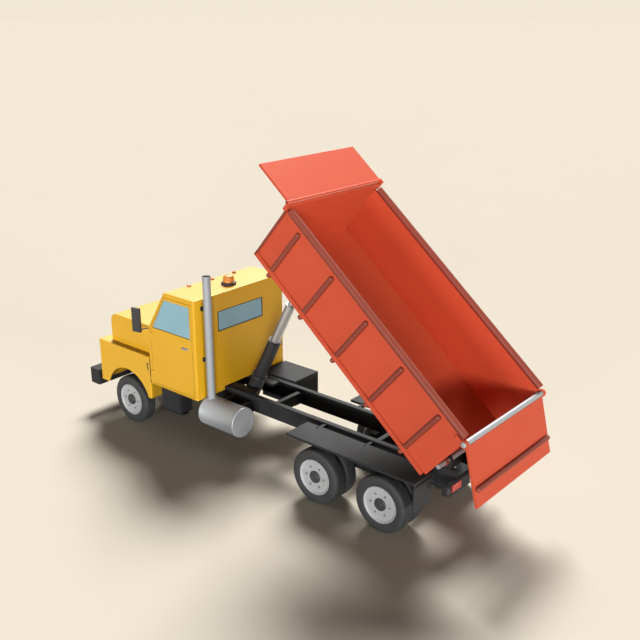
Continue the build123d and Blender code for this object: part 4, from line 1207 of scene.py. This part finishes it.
    def build_dashboard(self) -> None:
        """Dashboard with a hood over its dials, vents and a glove box."""
        front, rear = map(behind, self.dash_x)
        top = self.dash_top
        board = Bench.block((rear, -1.088, 1.762), (front, 1.088, top - 0.03), 0.03, 4)
        Bench.pressed(board, lambda face: face.normal.x < -0.9 and face.area > 0.2, (0.03, 0), (0.006, -0.006))
        cowl = Bench.block((rear + 0.004, 0.28, top - 0.08), (front, 0.82, top), 0.026, 4)
        box = Bench.block((rear - 0.006, -0.95, 1.80), (rear + 0.03, -0.40, 1.98), 0.008, 2)
        vents = Bench.repeated(Bench.block((rear - 0.008, -0.07, 1.99), (rear + 0.01, 0.07, 2.0), 0.002),
                               [shift(0, y, step * 0.016) for y in self.vent_y for step in range(4)])
        board = keep(Bench.joined(board, cowl, box, vents), "dash_panel", "chassis", Dress.DASH)
        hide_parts("dashboard")
        dial = Bench.turned([(0.0, 0.0), (0.0, 0.040), (0.008, 0.040), (0.010, 0.034), (0.004, 0.032),
                             (0.004, 0.0)], 32)
        places = [shift(rear + 0.006, y, 2.03) @ AFT for y in self.dial_y]
        keep(Bench.repeated(dial, places), "dash_dials", "chassis", Dress.PLATE)

    def build_fender_gap_shade_strips(self) -> None:
        """Black strips on the cab's front corners that fill the gap to the fenders flush with their faces;
        their black is painted shade of that gap.
        """
        front, rear = map(behind, self.corner_x)
        # The strip stands where the gap is only shaded: its black paints that shade.
        strip = Bench.block((rear, 1.150, 1.085), (front, 1.1995, 1.60), 0.003)
        keep(Bench.twinned(strip, self.corner_apart), "fender_gap_shade_strips", "chassis", Dress.RUBBER)

    def build_steering_wheel(self) -> None:
        """Column, padded rim, three spokes and boss."""
        foot, head = (Vector((behind(x), y, z)) for x, y, z in (self.column_foot, self.column_head))
        turn = Vector((1, 0, 0)).rotation_difference((head - foot).normalized()).to_matrix().to_4x4()

        def out(along: float, reach: float, angle: float) -> Point:
            """Point along the column at a reach and an angle round it."""
            return along, reach * math.cos(angle), reach * math.sin(angle)

        rim = Bench.pipe([out(0.014, self.wheel_reach, FULL_TURN * k / 12) for k in range(12)], 0.0145,
                         closed=True, order=4)
        boss = Bench.turned([(-0.03, 0.0), (-0.03, 0.03), (0.0, 0.044), (0.018, 0.042), (0.024, 0.03),
                             (0.024, 0.0)], 32)
        column = Bench.turned([(-0.25, 0.0), (-0.25, 0.036), (-0.06, 0.030), (-0.02, 0.026), (-0.02, 0.0)], 32)
        spokes = [Bench.pipe([out(0.006, 0.03, angle), out(0.004, 0.12, angle), out(0.013, 0.2, angle)], 0.009)
                  for angle in map(math.radians, (90, 210, 330))]
        keep(Bench.joined(rim, boss, column, *spokes), "steering_wheel", "chassis", Dress.TRIM,
             Matrix.Translation(head) @ turn)

    def build_steps(self) -> None:
        """Step boxes' ledges and the grip ribs on them."""
        rib = Bench.block((-0.2, -0.009, -0.001), (0.2, 0.009, 0.006), 0.002)
        places = [shift(behind(self.tread_x), side.value * (1.06 + 0.045 * step), self.step_z)
                  for side in Side for step in range(3)]
        ledge = Bench.block((-0.29, -0.09, -0.02), (0.29, 0.09, 0.0), 0.005)
        ledges = Bench.repeated(ledge, mirrored(behind(self.ledge_x), self.ledge_y, self.step_z))
        keep(Bench.joined(Bench.repeated(rib, places), ledges), "step_treads", "chassis", Dress.CHASSIS)


# ---------------------------------------------------------------- hood
@dataclass
class Hood:
    """Lamps, grille trim and catches of the hood."""

    nose_x: float = -0.905
    lamp_y: float = 0.89
    lamp_z: float = 1.19
    turn_lamp_rise: float = 0.215
    grille_half: float = 0.60
    grilles: tuple[tuple[float, Span], ...] = ((-0.905, (1.300, 1.560)), (-0.655, (1.720, 2.000)))
    catch_place: Point = (0.655, 1.203, 1.42)

    def build(self) -> None:
        """Builds all its pieces."""
        self.build_head_lamps()
        self.build_turn_lamps()
        self.build_grille_frames()
        self.build_catches()

    def build_head_lamps(self) -> None:
        """Round head lamps: a bright bezel, a bowl and a domed lens."""
        places = mirrored(behind(self.nose_x), self.lamp_y, self.lamp_z)
        bezel = Bench.turned([(-0.002, 0.088), (-0.002, 0.118), (0.018, 0.118), (0.030, 0.113), (0.034, 0.104),
                              (0.030, 0.096), (0.012, 0.094), (0.004, 0.088), (-0.002, 0.088)], 56)
        bezels = keep(Bench.repeated(bezel, places), "head_lamp_bezels", "hood", Dress.ROD)
        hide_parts("head_lamps")
        bowl = Bench.turned([(0.000, 0.0), (0.000, 0.090), (0.014, 0.094), (0.012, 0.080), (0.004, 0.05),
                             (0.003, 0.024), (0.018, 0.018), (0.020, 0.0)], 48)
        keep(Bench.repeated(bowl, places), "head_lamp_bowls", "hood", Dress.MIRROR)
        lens = Bench.turned([(0.020, 0.0), (0.020, 0.094), (0.026, 0.096), (0.030, 0.090), (0.035, 0.060),
                             (0.0375, 0.030), (0.038, 0.0)], 48)
        keep(Bench.repeated(lens, places), "head_lamp_lenses", "hood", Dress.CLEAR)

    def build_turn_lamps(self) -> None:
        """Oblong amber lamps above the head lamps."""
        places = mirrored(behind(self.nose_x), self.lamp_y, self.lamp_z + self.turn_lamp_rise)
        foot = Bench.block((-0.001, -0.085, -0.036), (0.008, 0.085, 0.036), 0.003)
        keep(Bench.repeated(foot, places), "turn_lamp_feet", "hood", Dress.TRIM)
        lens = Bench.block((0.006, -0.076, -0.028), (0.026, 0.076, 0.028), 0.009, 3)
        Bench.pressed(lens, lambda face: face.normal.x > 0.95 and face.area > 0.004, (0.005, 0.0015))
        keep(Bench.repeated(lens, places), "turn_lamp_lenses", "hood", Dress.AMBER_LENS)

    def build_grille_frames(self) -> None:
        """Frames round the two grilles."""
        turn = spun(QUARTER_TURN, "Z") @ spun(QUARTER_TURN, "X")
        wide = (-self.grille_half, self.grille_half)
        rings = [Bench.apply_place(Bench.oblong_gasket(wide, high, 0.022, 0.024, 0.022),
                                   shift(behind(x), 0, 0) @ turn) for x, high in self.grilles]
        keep(Bench.joined(*rings), "grille_frames", "hood", Dress.TRIM)

    def build_catches(self) -> None:
        """Rubber hood catches on both fenders' rear edges."""
        x, y, z = self.catch_place
        for side in Side:
            strap = Bench.block((-0.011, 0.0, -0.075), (0.011, 0.009, 0.075), 0.003)
            knob = Bench.turned([(0.0, 0.0), (0.0, 0.019), (0.008, 0.020), (0.014, 0.016), (0.014, 0.0)], 20)
            Bench.apply_place(knob, shift(0, 0.004, 0.060) @ spun(QUARTER_TURN, "Z"))
            catch = Bench.joined(strap, knob)
            if side is Side.RIGHT:
                Bench.flipped(catch)
            keep(catch, f"{side.word}_hood_catch", "hood", Dress.TRIM, shift(behind(x), side.value * y, z))


# ---------------------------------------------------------------- chassis
@dataclass
class Chassis:
    """Bolts, tail lamps, tank, stack rings, tool box door, engine fittings, axle covers and plate."""

    rail_y: float = 0.465
    rail_z: Span = (0.85, 1.17)
    rail_bolt_x: tuple[float, ...] = (1.85, 3.30, 5.60, 5.768, 6.95)
    rear_x: float = 7.44
    lamp_z: float = 0.9825
    housing_y: float = 0.805
    lens_y: float = 0.5725
    plate_z: Span = (0.885, 1.035)
    tank_centre: Span = (0.93, 0.835)
    tank_radius: float = 0.29
    tank_x: Span = (2.10, 3.03)
    drain_x: float = 2.95
    stack_place: Span = (2.195, 0.945)
    box_x: Span = (2.18, 3.02)
    box_y: float = -1.2
    latch_x: Span = (2.40, 2.80)
    rocker_x: Span = (-0.26, 0.58)
    rocker_z: Span = (1.755, 1.86)
    cap_x: tuple[float, ...] = (-0.18, 0.02, 0.22, 0.42)
    fan_place: Span = (-0.335, 1.52)
    fan_blades: int = 7
    fender_bolt_x: tuple[float, ...] = (4.64, 5.684, 6.76)
    fender_top: float = 1.1595
    cover_y: float = -0.31
    cover_set_back: float = 0.120
    flap_x: Span = (7.062, 7.076)
    flap_apart: float = 1.92

    def build(self) -> None:
        """Builds all its pieces."""
        self.build_rail_bolts()
        self.build_tail_lamps()
        self.build_tank()
        self.build_stack()
        self.build_tool_box()
        self.build_engine()
        self.build_fan()
        self.build_axle_covers()
        self.build_plate()
        self.build_fender_edges()

    def build_rail_bolts(self) -> None:
        """Rows of bolt heads where crossmembers and hangers meet the rails."""
        low, high = self.rail_z
        places = [place for x in self.rail_bolt_x for z in (low + 0.08, low + 0.16, high - 0.08)
                  for place in outward(behind(x), self.rail_y, z)]
        keep(Bench.repeated(Bench.bolt(0.016, 0.013), places), "rail_bolts", "chassis", Dress.CHASSIS)

    def build_tail_lamps(self) -> None:
        """Red lenses with their frames, and round dark housings outside them."""
        x = behind(self.rear_x)
        housing = Bench.turned([(-0.075, 0.0), (-0.075, 0.052), (-0.060, 0.058), (0.004, 0.062), (0.012, 0.060),
                                (0.016, 0.054), (0.013, 0.047), (0.004, 0.044), (0.004, 0.0)], 40)
        places = [place @ AFT for place in mirrored(x, self.housing_y, self.lamp_z)]
        keep(Bench.repeated(housing, places), "tail_lamp_housings", "chassis", Dress.TRIM)
        glass = Bench.turned([(0.003, 0.0), (0.003, 0.044), (0.009, 0.042), (0.0125, 0.028), (0.0135, 0.0)], 32)
        keep(Bench.repeated(glass, places), "reversing_lenses", "chassis", Dress.HUB)
        lens = Bench.block((x - 0.012, -0.1325, -0.0625), (x + 0.012, 0.1325, 0.0625), 0.006, 3)
        Bench.pressed(lens, lambda face: face.normal.x < -0.95 and face.area > 0.01, (0.010, 0.002),
                      (0.004, -0.002))
        lenses = Bench.repeated(lens, mirrored(0, self.lens_y, self.lamp_z))
        keep(lenses, "tail_lamp_lenses", "chassis", Dress.RED_LENS)
        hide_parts("tail_lamps")

    def build_tank(self) -> None:
        """Tank shell with rolled rims round its dished ends, and a drain."""
        length = self.tank_x[1] - self.tank_x[0]
        reach = self.tank_radius
        end = [(0.012, 0.0), (0.012, reach - 0.040), (0.006, reach - 0.030), (0.001, reach - 0.018),
               (0.003, reach - 0.006), (0.012, reach), (0.030, reach), (0.034, reach - 0.003)]
        shell = Bench.turned(end + [(length - along, radius) for along, radius in reversed(end)], 72)
        y, z = self.tank_centre
        tank = keep(shell, "tank_shell", "chassis", Dress.TANK, shift(behind(self.tank_x[1]), y, z))
        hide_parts("air_tank")
        place = shift(behind(self.drain_x), y, z - reach + 0.003) @ spun(QUARTER_TURN, "Y")
        keep(Bench.bolt(0.022, 0.020), "tank_drain", "chassis", Dress.ROD, place)

    def build_stack(self) -> None:
        """Rolled lip at the stack's mouth and the joint ring at its foot."""
        x, y = self.stack_place
        lip = Bench.turned([(3.512, 0.0765), (3.513, 0.0782), (3.524, 0.0792), (3.530, 0.0780), (3.530, 0.0735),
                            (3.524, 0.0715), (3.512, 0.0718), (3.512, 0.0765)], 48)
        foot = Bench.turned([(1.10, 0.0765), (1.10, 0.086), (1.108, 0.090), (1.128, 0.090), (1.136, 0.086),
                             (1.136, 0.0765), (1.10, 0.0765)], 48)
        keep(Bench.joined(lip, foot), "stack_rings", "chassis", Dress.STACK, shift(behind(x), y, 0) @ UPWARD)

    def build_tool_box(self) -> None:
        """Door frame, latches and hinge rod on the tool box."""
        y = self.box_y
        front, rear = map(behind, self.box_x)
        door = Bench.block((rear, y - 0.004, 0.70), (front, y + 0.004, 1.165), 0.003)
        Bench.pressed(door, lambda face: face.normal.y < -0.9 and face.area > 0.2, (0.035, 0), (0.006, -0.003))
        latch = Bench.block((-0.045, y - 0.016, 0.92), (0.045, y - 0.002, 0.955), 0.004)
        latches = Bench.repeated(latch, [shift(behind(x), 0, 0) for x in self.latch_x])
        rod = Bench.pipe([(x, y - 0.004, 0.708) for x in (rear + 0.02, front - 0.02)], 0.008, order=2)
        keep(Bench.joined(door, latches, rod), "tool_box_door", "chassis", Dress.CHASSIS)

    def build_engine(self) -> None:
        """Rocker cover with its bolts, and a pipe along each side of the engine's block."""
        front, rear = map(behind, self.rocker_x)
        low, high = self.rocker_z
        cover = Bench.block((rear, -0.19, low), (front, 0.19, high), 0.03, 4)
        Bench.pressed(cover, lambda face: face.normal.z > 0.95 and face.area > 0.1, (0.03, 0), (0.01, -0.012))
        places = [shift(behind(x), y, 1.846) @ UPWARD for x in self.cap_x for y in (-0.12, 0.12)]
        caps = Bench.repeated(Bench.bolt(0.018, 0.02), places)
        manifold = Bench.pipe([(behind(-0.25), 0.36, 1.55), (behind(0.1), 0.39, 1.56),
                               (behind(0.45), 0.39, 1.55), (behind(0.55), 0.36, 1.40)], 0.045)
        intake = Bench.pipe([(behind(-0.25), -0.36, 1.58), (behind(0.1), -0.40, 1.60),
                             (behind(0.5), -0.38, 1.58)], 0.05)
        keep(Bench.joined(cover, caps, manifold, intake), "engine_fittings", "chassis", Dress.CAST)

    def build_fan(self) -> None:
        """Radiator fan with pitched blades."""
        hub = Bench.turned([(0.0, 0.0), (0.0, 0.10), (0.02, 0.11), (0.06, 0.10), (0.075, 0.06),
                            (0.075, 0.0)], 32)
        blade = Bench.block((0.025, 0.06, -0.055), (0.033, 0.36, 0.055), 0.003)
        Bench.apply_place(blade, spun(math.radians(24), "Y"))
        count = self.fan_blades
        blades = Bench.repeated(blade, [spun(FULL_TURN * k / count, "X") for k in range(count)])
        x, z = self.fan_place
        keep(Bench.joined(hub, blades), "radiator_fan", "chassis", Dress.TRIM, shift(behind(x), 0, z))

    def build_axle_covers(self) -> None:
        """Bolted covers on the rear axles' housings."""
        cover = Bench.turned([(0.0, 0.0), (0.0, 0.150), (0.020, 0.152), (0.026, 0.140), (0.044, 0.105),
                              (0.052, 0.06), (0.054, 0.0)], 40)
        studs = Bench.repeated(Bench.bolt(0.010, 0.010), Bench.ring_places(10, 0.143, 0.021))
        places = [shift(behind(x + self.cover_set_back), self.cover_y, AXLE_HEIGHT) @ AFT
                  for x in (MIDDLE_AXLE, REAR_AXLE)]
        covers = Bench.repeated(Bench.joined(cover, studs), places)
        keep(covers, "axle_covers", "chassis", Dress.CAST)

    def build_plate(self) -> None:
        """Blank plate with a thin frame in the middle of the rear crossmember."""
        x = behind(self.rear_x)
        plate = Bench.block((x - 0.006, -0.16, self.plate_z[0]), (x, 0.16, self.plate_z[1]), 0.002)
        Bench.pressed(plate, lambda face: face.normal.x < -0.9 and face.area > 0.01, (0.008, 0),
                      (0.002, -0.002))
        keep(plate, "blank_plate", "chassis", Dress.PLATE)

    def build_fender_edges(self) -> None:
        """Bolts that hold the rear fenders and the mud flaps' top strips."""
        heads = Bench.repeated(Bench.bolt(0.014, 0.010), [
            place @ UPWARD for x in self.fender_bolt_x for y in (0.66, 0.70)
            for place in mirrored(behind(x), y, self.fender_top)])
        front, rear = map(behind, self.flap_x)
        strips = Bench.twinned(Bench.block((rear, 0.74, 1.06), (front, 1.18, 1.10), 0.003), self.flap_apart)
        keep(Bench.joined(heads, strips), "fender_bolts_and_strips", "chassis", Dress.CHASSIS)


# ---------------------------------------------------------------- bed, shield and tailgate
@dataclass
class Bed:
    """Welds, front posts, hinge lip, bearer tips and pin caps of the bed, its shield and its tailgate."""

    length: float = 4.59
    half_width: float = 1.197
    side_y: float = 1.17
    side_top: float = 1.119
    floor: float = 0.08
    wall_top: float = 1.25
    rib_along: tuple[float, ...] = (0.53, 1.434, 2.338, 3.242, 4.146)
    shield_pin: Point = (4.618, 1.2355, 1.27)
    shaft_half: float = 0.733
    gate_rod_half: float = 1.239

    def build(self) -> None:
        """Builds all its pieces."""
        self.build_welds()
        self.build_front_edges()
        self.build_bearer_tips()
        self.build_pin_caps()
        self.build_gate_caps()

    def build_front_edges(self) -> None:
        """Dark posts on the sides' front edges, and a lip that closes the gap to the shield's hinge tube."""
        post = Bench.block((self.length - 0.042, self.side_y - 0.002, 0.004),
                           (self.length + 0.002, self.half_width, self.side_top - 0.004), 0.010, 3)
        posts = Bench.twinned(post, self.side_y + self.half_width - 0.002)
        keep(posts, "bed_front_posts", "bed", Dress.RIB_RED, BED_MATRIX)
        lip = Bench.block((self.length - 0.044, -self.side_y, self.wall_top - 0.001),
                          (self.length + 0.007, self.side_y, self.wall_top + 0.0025), 0.001)
        keep(lip, "shield_hinge_lip", "bed", Dress.BED_RED, BED_MATRIX)

    def build_bearer_tips(self) -> None:
        """Rounded ends of the cross bearers, which stand out below the sides."""
        tip = Bench.turned([(1.10, 0.0), (1.10, 0.0445), (1.176, 0.0445), (1.194, 0.0395), (1.206, 0.028),
                            (1.212, 0.012), (1.213, 0.0)], 28)
        places = [place for along in self.rib_along for place in outward(along, 0, -0.042)]
        keep(Bench.repeated(tip, places), "bearer_tips", "bed", Dress.RIB_RED, BED_MATRIX)

    def build_welds(self) -> None:
        """Fillet welds along the floor and up the front corners inside the bed."""
        inner = self.side_y - 0.04
        rear, front = 0.06, self.length - 0.045
        low, top = self.floor, self.side_top
        runs = [[(rear, side.value * inner, low), (front, side.value * inner, low)] for side in Side]
        runs.append([(front, -inner, low), (front, inner, low)])
        runs += [[(front, side.value * inner, low), (front, side.value * inner, top)] for side in Side]
        welds = [Bench.pipe(run, 0.006, order=2) for run in runs]
        keep(Bench.joined(*welds), "floor_welds", "bed", Dress.BED_RED, BED_MATRIX)

    def build_pin_caps(self) -> None:
        """Washers and nuts on the shield's pins, and the bed's pivot shaft ends."""
        washer = Bench.turned([(0.0, 0.0), (0.0, 0.028), (0.005, 0.028), (0.006, 0.024), (0.006, 0.0)], 28)
        caps = Bench.repeated(Bench.joined(washer, Bench.bolt(0.017, 0.014)), outward(*self.shield_pin))
        keep(caps, "shield_pin_nuts", "cab_shield", Dress.RIB_RED, BED_MATRIX)
        end = Bench.turned([(-0.001, 0.0), (-0.001, 0.0395), (0.010, 0.0395), (0.016, 0.034), (0.016, 0.014),
                            (0.012, 0.012), (0.012, 0.0)], 36)
        ends = Bench.repeated(end, outward(behind(BED_PIVOT), self.shaft_half, BED_PIVOT_HEIGHT))
        keep(ends, "pivot_shaft_ends", "chassis", Dress.ROD)

    def build_gate_caps(self) -> None:
        """Domed ends of the tailgate's rod."""
        cap = Bench.turned([(-0.001, 0.0), (-0.001, 0.0445), (0.003, 0.0445), (0.010, 0.038), (0.014, 0.022),
                            (0.015, 0.0)], 36)
        places = outward(GATE_ORIGIN.x, self.gate_rod_half, GATE_ORIGIN.z)
        keep(Bench.repeated(cap, places), "gate_rod_ends", "tailgate", Dress.ROD)


# ---------------------------------------------------------------- hoist
@dataclass
class Hoist:
    """Collars at the ends of the hoist's barrel and stages."""

    closed_top: float = 0.95
    radii: tuple[float, ...] = (0.145, 0.122, 0.090, 0.062)
    step: float = 0.90112 + 0.005
    tubes: tuple[tuple[str, Dress], ...] = (
        ("hoist_barrel", Dress.HOIST_DARK), ("hoist_stage_a", Dress.HOIST_DARK),
        ("hoist_stage_b", Dress.HOIST_BRIGHT))

    def build(self) -> None:
        """Builds all its pieces."""
        for index, (body, finish) in enumerate(self.tubes):
            top = self.closed_top + index * self.step
            self.build_collar(body, finish, top, self.radii[index], self.radii[index + 1])

    @staticmethod
    def build_collar(body: str, finish: Dress, top: float, outer: float, inner: float) -> None:
        """Gland ring that holds the seal of the next stage.

        Only the barrel's can be deep: each stage's slides down to 5 mm above the one before.

        Args:
            body: Body that it rides on.
            finish: Its finish.
            top: Where its tube ends, from the trunnions.
            outer: Tube's outer radius.
            inner: Next stage's outer radius.
        """
        if body == "hoist_barrel":
            skirt = [(top - 0.040, outer - 0.001), (top - 0.038, outer + 0.003), (top - 0.034, outer + 0.005),
                     (top - 0.006, outer + 0.005), (top, outer + 0.001)]
        else:
            skirt = [(top - 0.001, outer - 0.001), (top - 0.001, outer + 0.004), (top + 0.0006, outer + 0.004),
                     (top + 0.001, outer + 0.003)]
        collar = Bench.turned([
            *skirt, (top + 0.0013, outer - 0.006), (top + 0.0013, inner + 0.004), (top + 0.001, inner + 0.0015),
            (top - 0.001, inner + 0.0015), (top - 0.001, outer - 0.004), skirt[0]], 56)
        keep(collar, f"{body}_collar", body, finish, HOIST_MATRIX)


# ---------------------------------------------------------------- finishes of the solids
NODE_FINISHES: tuple[tuple[Dress, tuple[str, ...]], ...] = (
    (Dress.CAB_YELLOW, ("cab_shell", "hood_fenders", "left_door", "right_door")),
    (Dress.BED_RED, ("bed_body", "cab_shield", "tailgate")),
    (Dress.RIB_RED, ("bed_ribs", "bed_bearers", "tailgate_rib")),
    (Dress.CHASSIS, ("frame_rails", "frame_crossmembers", "front_bumper", "rear_crossmember", "side_boxes",
                     "tank_saddles", "stack_clamps", "rear_fenders", "springs")),
    (Dress.CAST, ("engine", "driveline", "rear_axles", "front_axle", "left_knuckle", "right_knuckle")),
    (Dress.STACK, ("exhaust_stack",)),
    (Dress.TANK, ("air_tank",)),
    (Dress.HOIST_DARK, ("hoist_barrel", "hoist_cradle", "hoist_stage_a")),
    (Dress.HOIST_BRIGHT, ("hoist_stage_b", "hoist_rod")),
    (Dress.ROD, ("tailgate_rod", "bed_pivot_shaft")),
    (Dress.GLASS, ("cab_glass", "left_door_glass", "right_door_glass")),
    (Dress.CLEAR, ("head_lamps",)),
    (Dress.RED_LENS, ("tail_lamps",)),
    (Dress.AMBER_LENS, ("roof_lamps",)),
    (Dress.BEACON, ("beacon_lens",)),
    (Dress.TRIM, ("beacon_base", "mirrors", "grille")),
    (Dress.RUBBER, ("mud_flaps",)),
    (Dress.CLOTH, ("seats",)),
    (Dress.DASH, ("dashboard",)),
)


def dress_solids() -> None:
    """Gives every solid from the frame its finish."""
    for finish, names in NODE_FINISHES:
        for name in names:
            dress(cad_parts[name], finish)
    for name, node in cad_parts.items():
        if name.endswith("_tyre"):
            dress(node, Dress.TYRE)
        elif name.endswith("_rim"):
            dress(node, Dress.RIM)


# ---------------------------------------------------------------- studio
@dataclass(frozen=True)
class Sun:
    """Soft sun: direction that its light travels, strength, size in radians and how often its light bounces."""

    name: str
    travel: Point
    strength: float
    angle: float
    bounces: int = 0

    def add(self) -> None:
        """Adds the sun to the scene."""
        data = bpy.data.lights.new(self.name, "SUN")
        data.energy = self.strength
        data.angle = self.angle
        data.cycles.max_bounces = self.bounces
        lamp = bpy.data.objects.new(self.name, data)
        lamp.rotation_euler = Vector(self.travel).to_track_quat("-Z", "Y").to_euler()
        bpy.context.scene.collection.objects.link(lamp)


@dataclass
class Studio:
    """Floor, pale surroundings, lamps and camera."""

    camera_place: Point = (-10.3973, 11.4529, 8.1925)
    camera_look: Point = (0.6094, -0.7190, -0.3342)
    lens: float = 50.0
    sensor: float = 36.0
    clip_end: float = 2000.0
    floor_size: float = 900.0
    floor_colour: Point = (0.70, 0.636, 0.528)
    floor_mottle: float = 0.985
    floor_bounce: Point = (0.22, 0.205, 0.18)
    backdrop: Point = (0.887, 0.807, 0.665)
    dimness: float = 0.06
    suns: tuple[Sun, ...] = (
        Sun("key", (-0.54, 0.80, -1.0), 3.75, 0.45, 12),
        Sun("front_key", (-0.64, 0.70, -1.0), 1.3, 0.25, 12),
        Sun("left_fill", (0.15, -1.0, -0.01), 1.8, 0.3),
        Sun("rear_left_fill", (0.62, -0.78, -0.01), 2.6, 0.3),
        Sun("rear_fill", (1.0, -0.1, -0.01), 2.6, 0.3, 1))

    def build(self) -> None:
        """Builds the whole studio."""
        scene = bpy.context.scene
        scene.view_settings.view_transform = "Standard"
        self.build_world(scene)
        self.build_floor()
        for sun in self.suns:
            sun.add()
        self.build_camera(scene)

    def build_world(self, scene: bpy.types.Scene) -> None:
        """World that looks pale and lights the truck dimly.

        Args:
            scene: Scene that gets it.
        """
        world = bpy.data.worlds.new("studio_air")
        scene.world = world
        world.use_nodes = True
        sheet = NodeSheet(world.node_tree)
        sheet.fill(world.node_tree.nodes["Background"], {
            "Color": self.backdrop, "Strength": sheet.span(sheet.seen(), 0.0, 1.0, self.dimness, 1.0)})

    def build_floor(self) -> None:
        """Wide pale floor with a faint mottle, which throws less light than it seems to."""
        Bench.pick()
        bpy.ops.mesh.primitive_plane_add(size=self.floor_size)
        floor = bpy.context.object
        floor.name = "studio_floor"
        material, sheet, shader = blank_material("floor_paper")
        shade = tuple(self.floor_mottle * value for value in self.floor_colour)
        paper = sheet.blend(sheet.noise(sheet.place(), 0.35, 2.0), self.floor_colour, shade)
        sheet.fill(shader, {"Base Color": sheet.blend(sheet.seen(), self.floor_bounce, paper), "Roughness": 1.0,
                            "Specular IOR Level": 0.0})
        floor.data.materials.append(material)

    def build_camera(self, scene: bpy.types.Scene) -> None:
        """Camera with a plain 50 mm view.

        Args:
            scene: Scene that gets it.
        """
        data = bpy.data.cameras.new("camera")
        data.lens = self.lens
        data.sensor_width = self.sensor
        data.clip_end = self.clip_end
        camera = bpy.data.objects.new("camera", data)
        camera.location = self.camera_place
        camera.rotation_euler = Vector(self.camera_look).to_track_quat("-Z", "Y").to_euler()
        scene.collection.objects.link(camera)
        scene.camera = camera


WHEEL_PLACES: tuple[tuple[str, float, tuple[float, ...]], ...] = (
    ("front", 0.0, (1.19,)),
    ("middle", MIDDLE_AXLE, (1.19, 0.88)),
    ("rear", REAR_AXLE, (1.19, 0.88)),
)


def main() -> None:
    """Builds the truck's looks and its studio."""
    logging.basicConfig(level=logging.INFO, format="%(message)s")
    dress_solids()
    for name, place, faces in WHEEL_PLACES:
        for side in Side:
            Wheel(f"{name}_{side.word}", place, side, faces).build()
    Cab().build()
    for side in Side:
        Door(side).build()
    Hood().build()
    Chassis().build()
    Bed().build()
    Hoist().build()
    Studio().build()


if __name__ == "__main__":
    main()
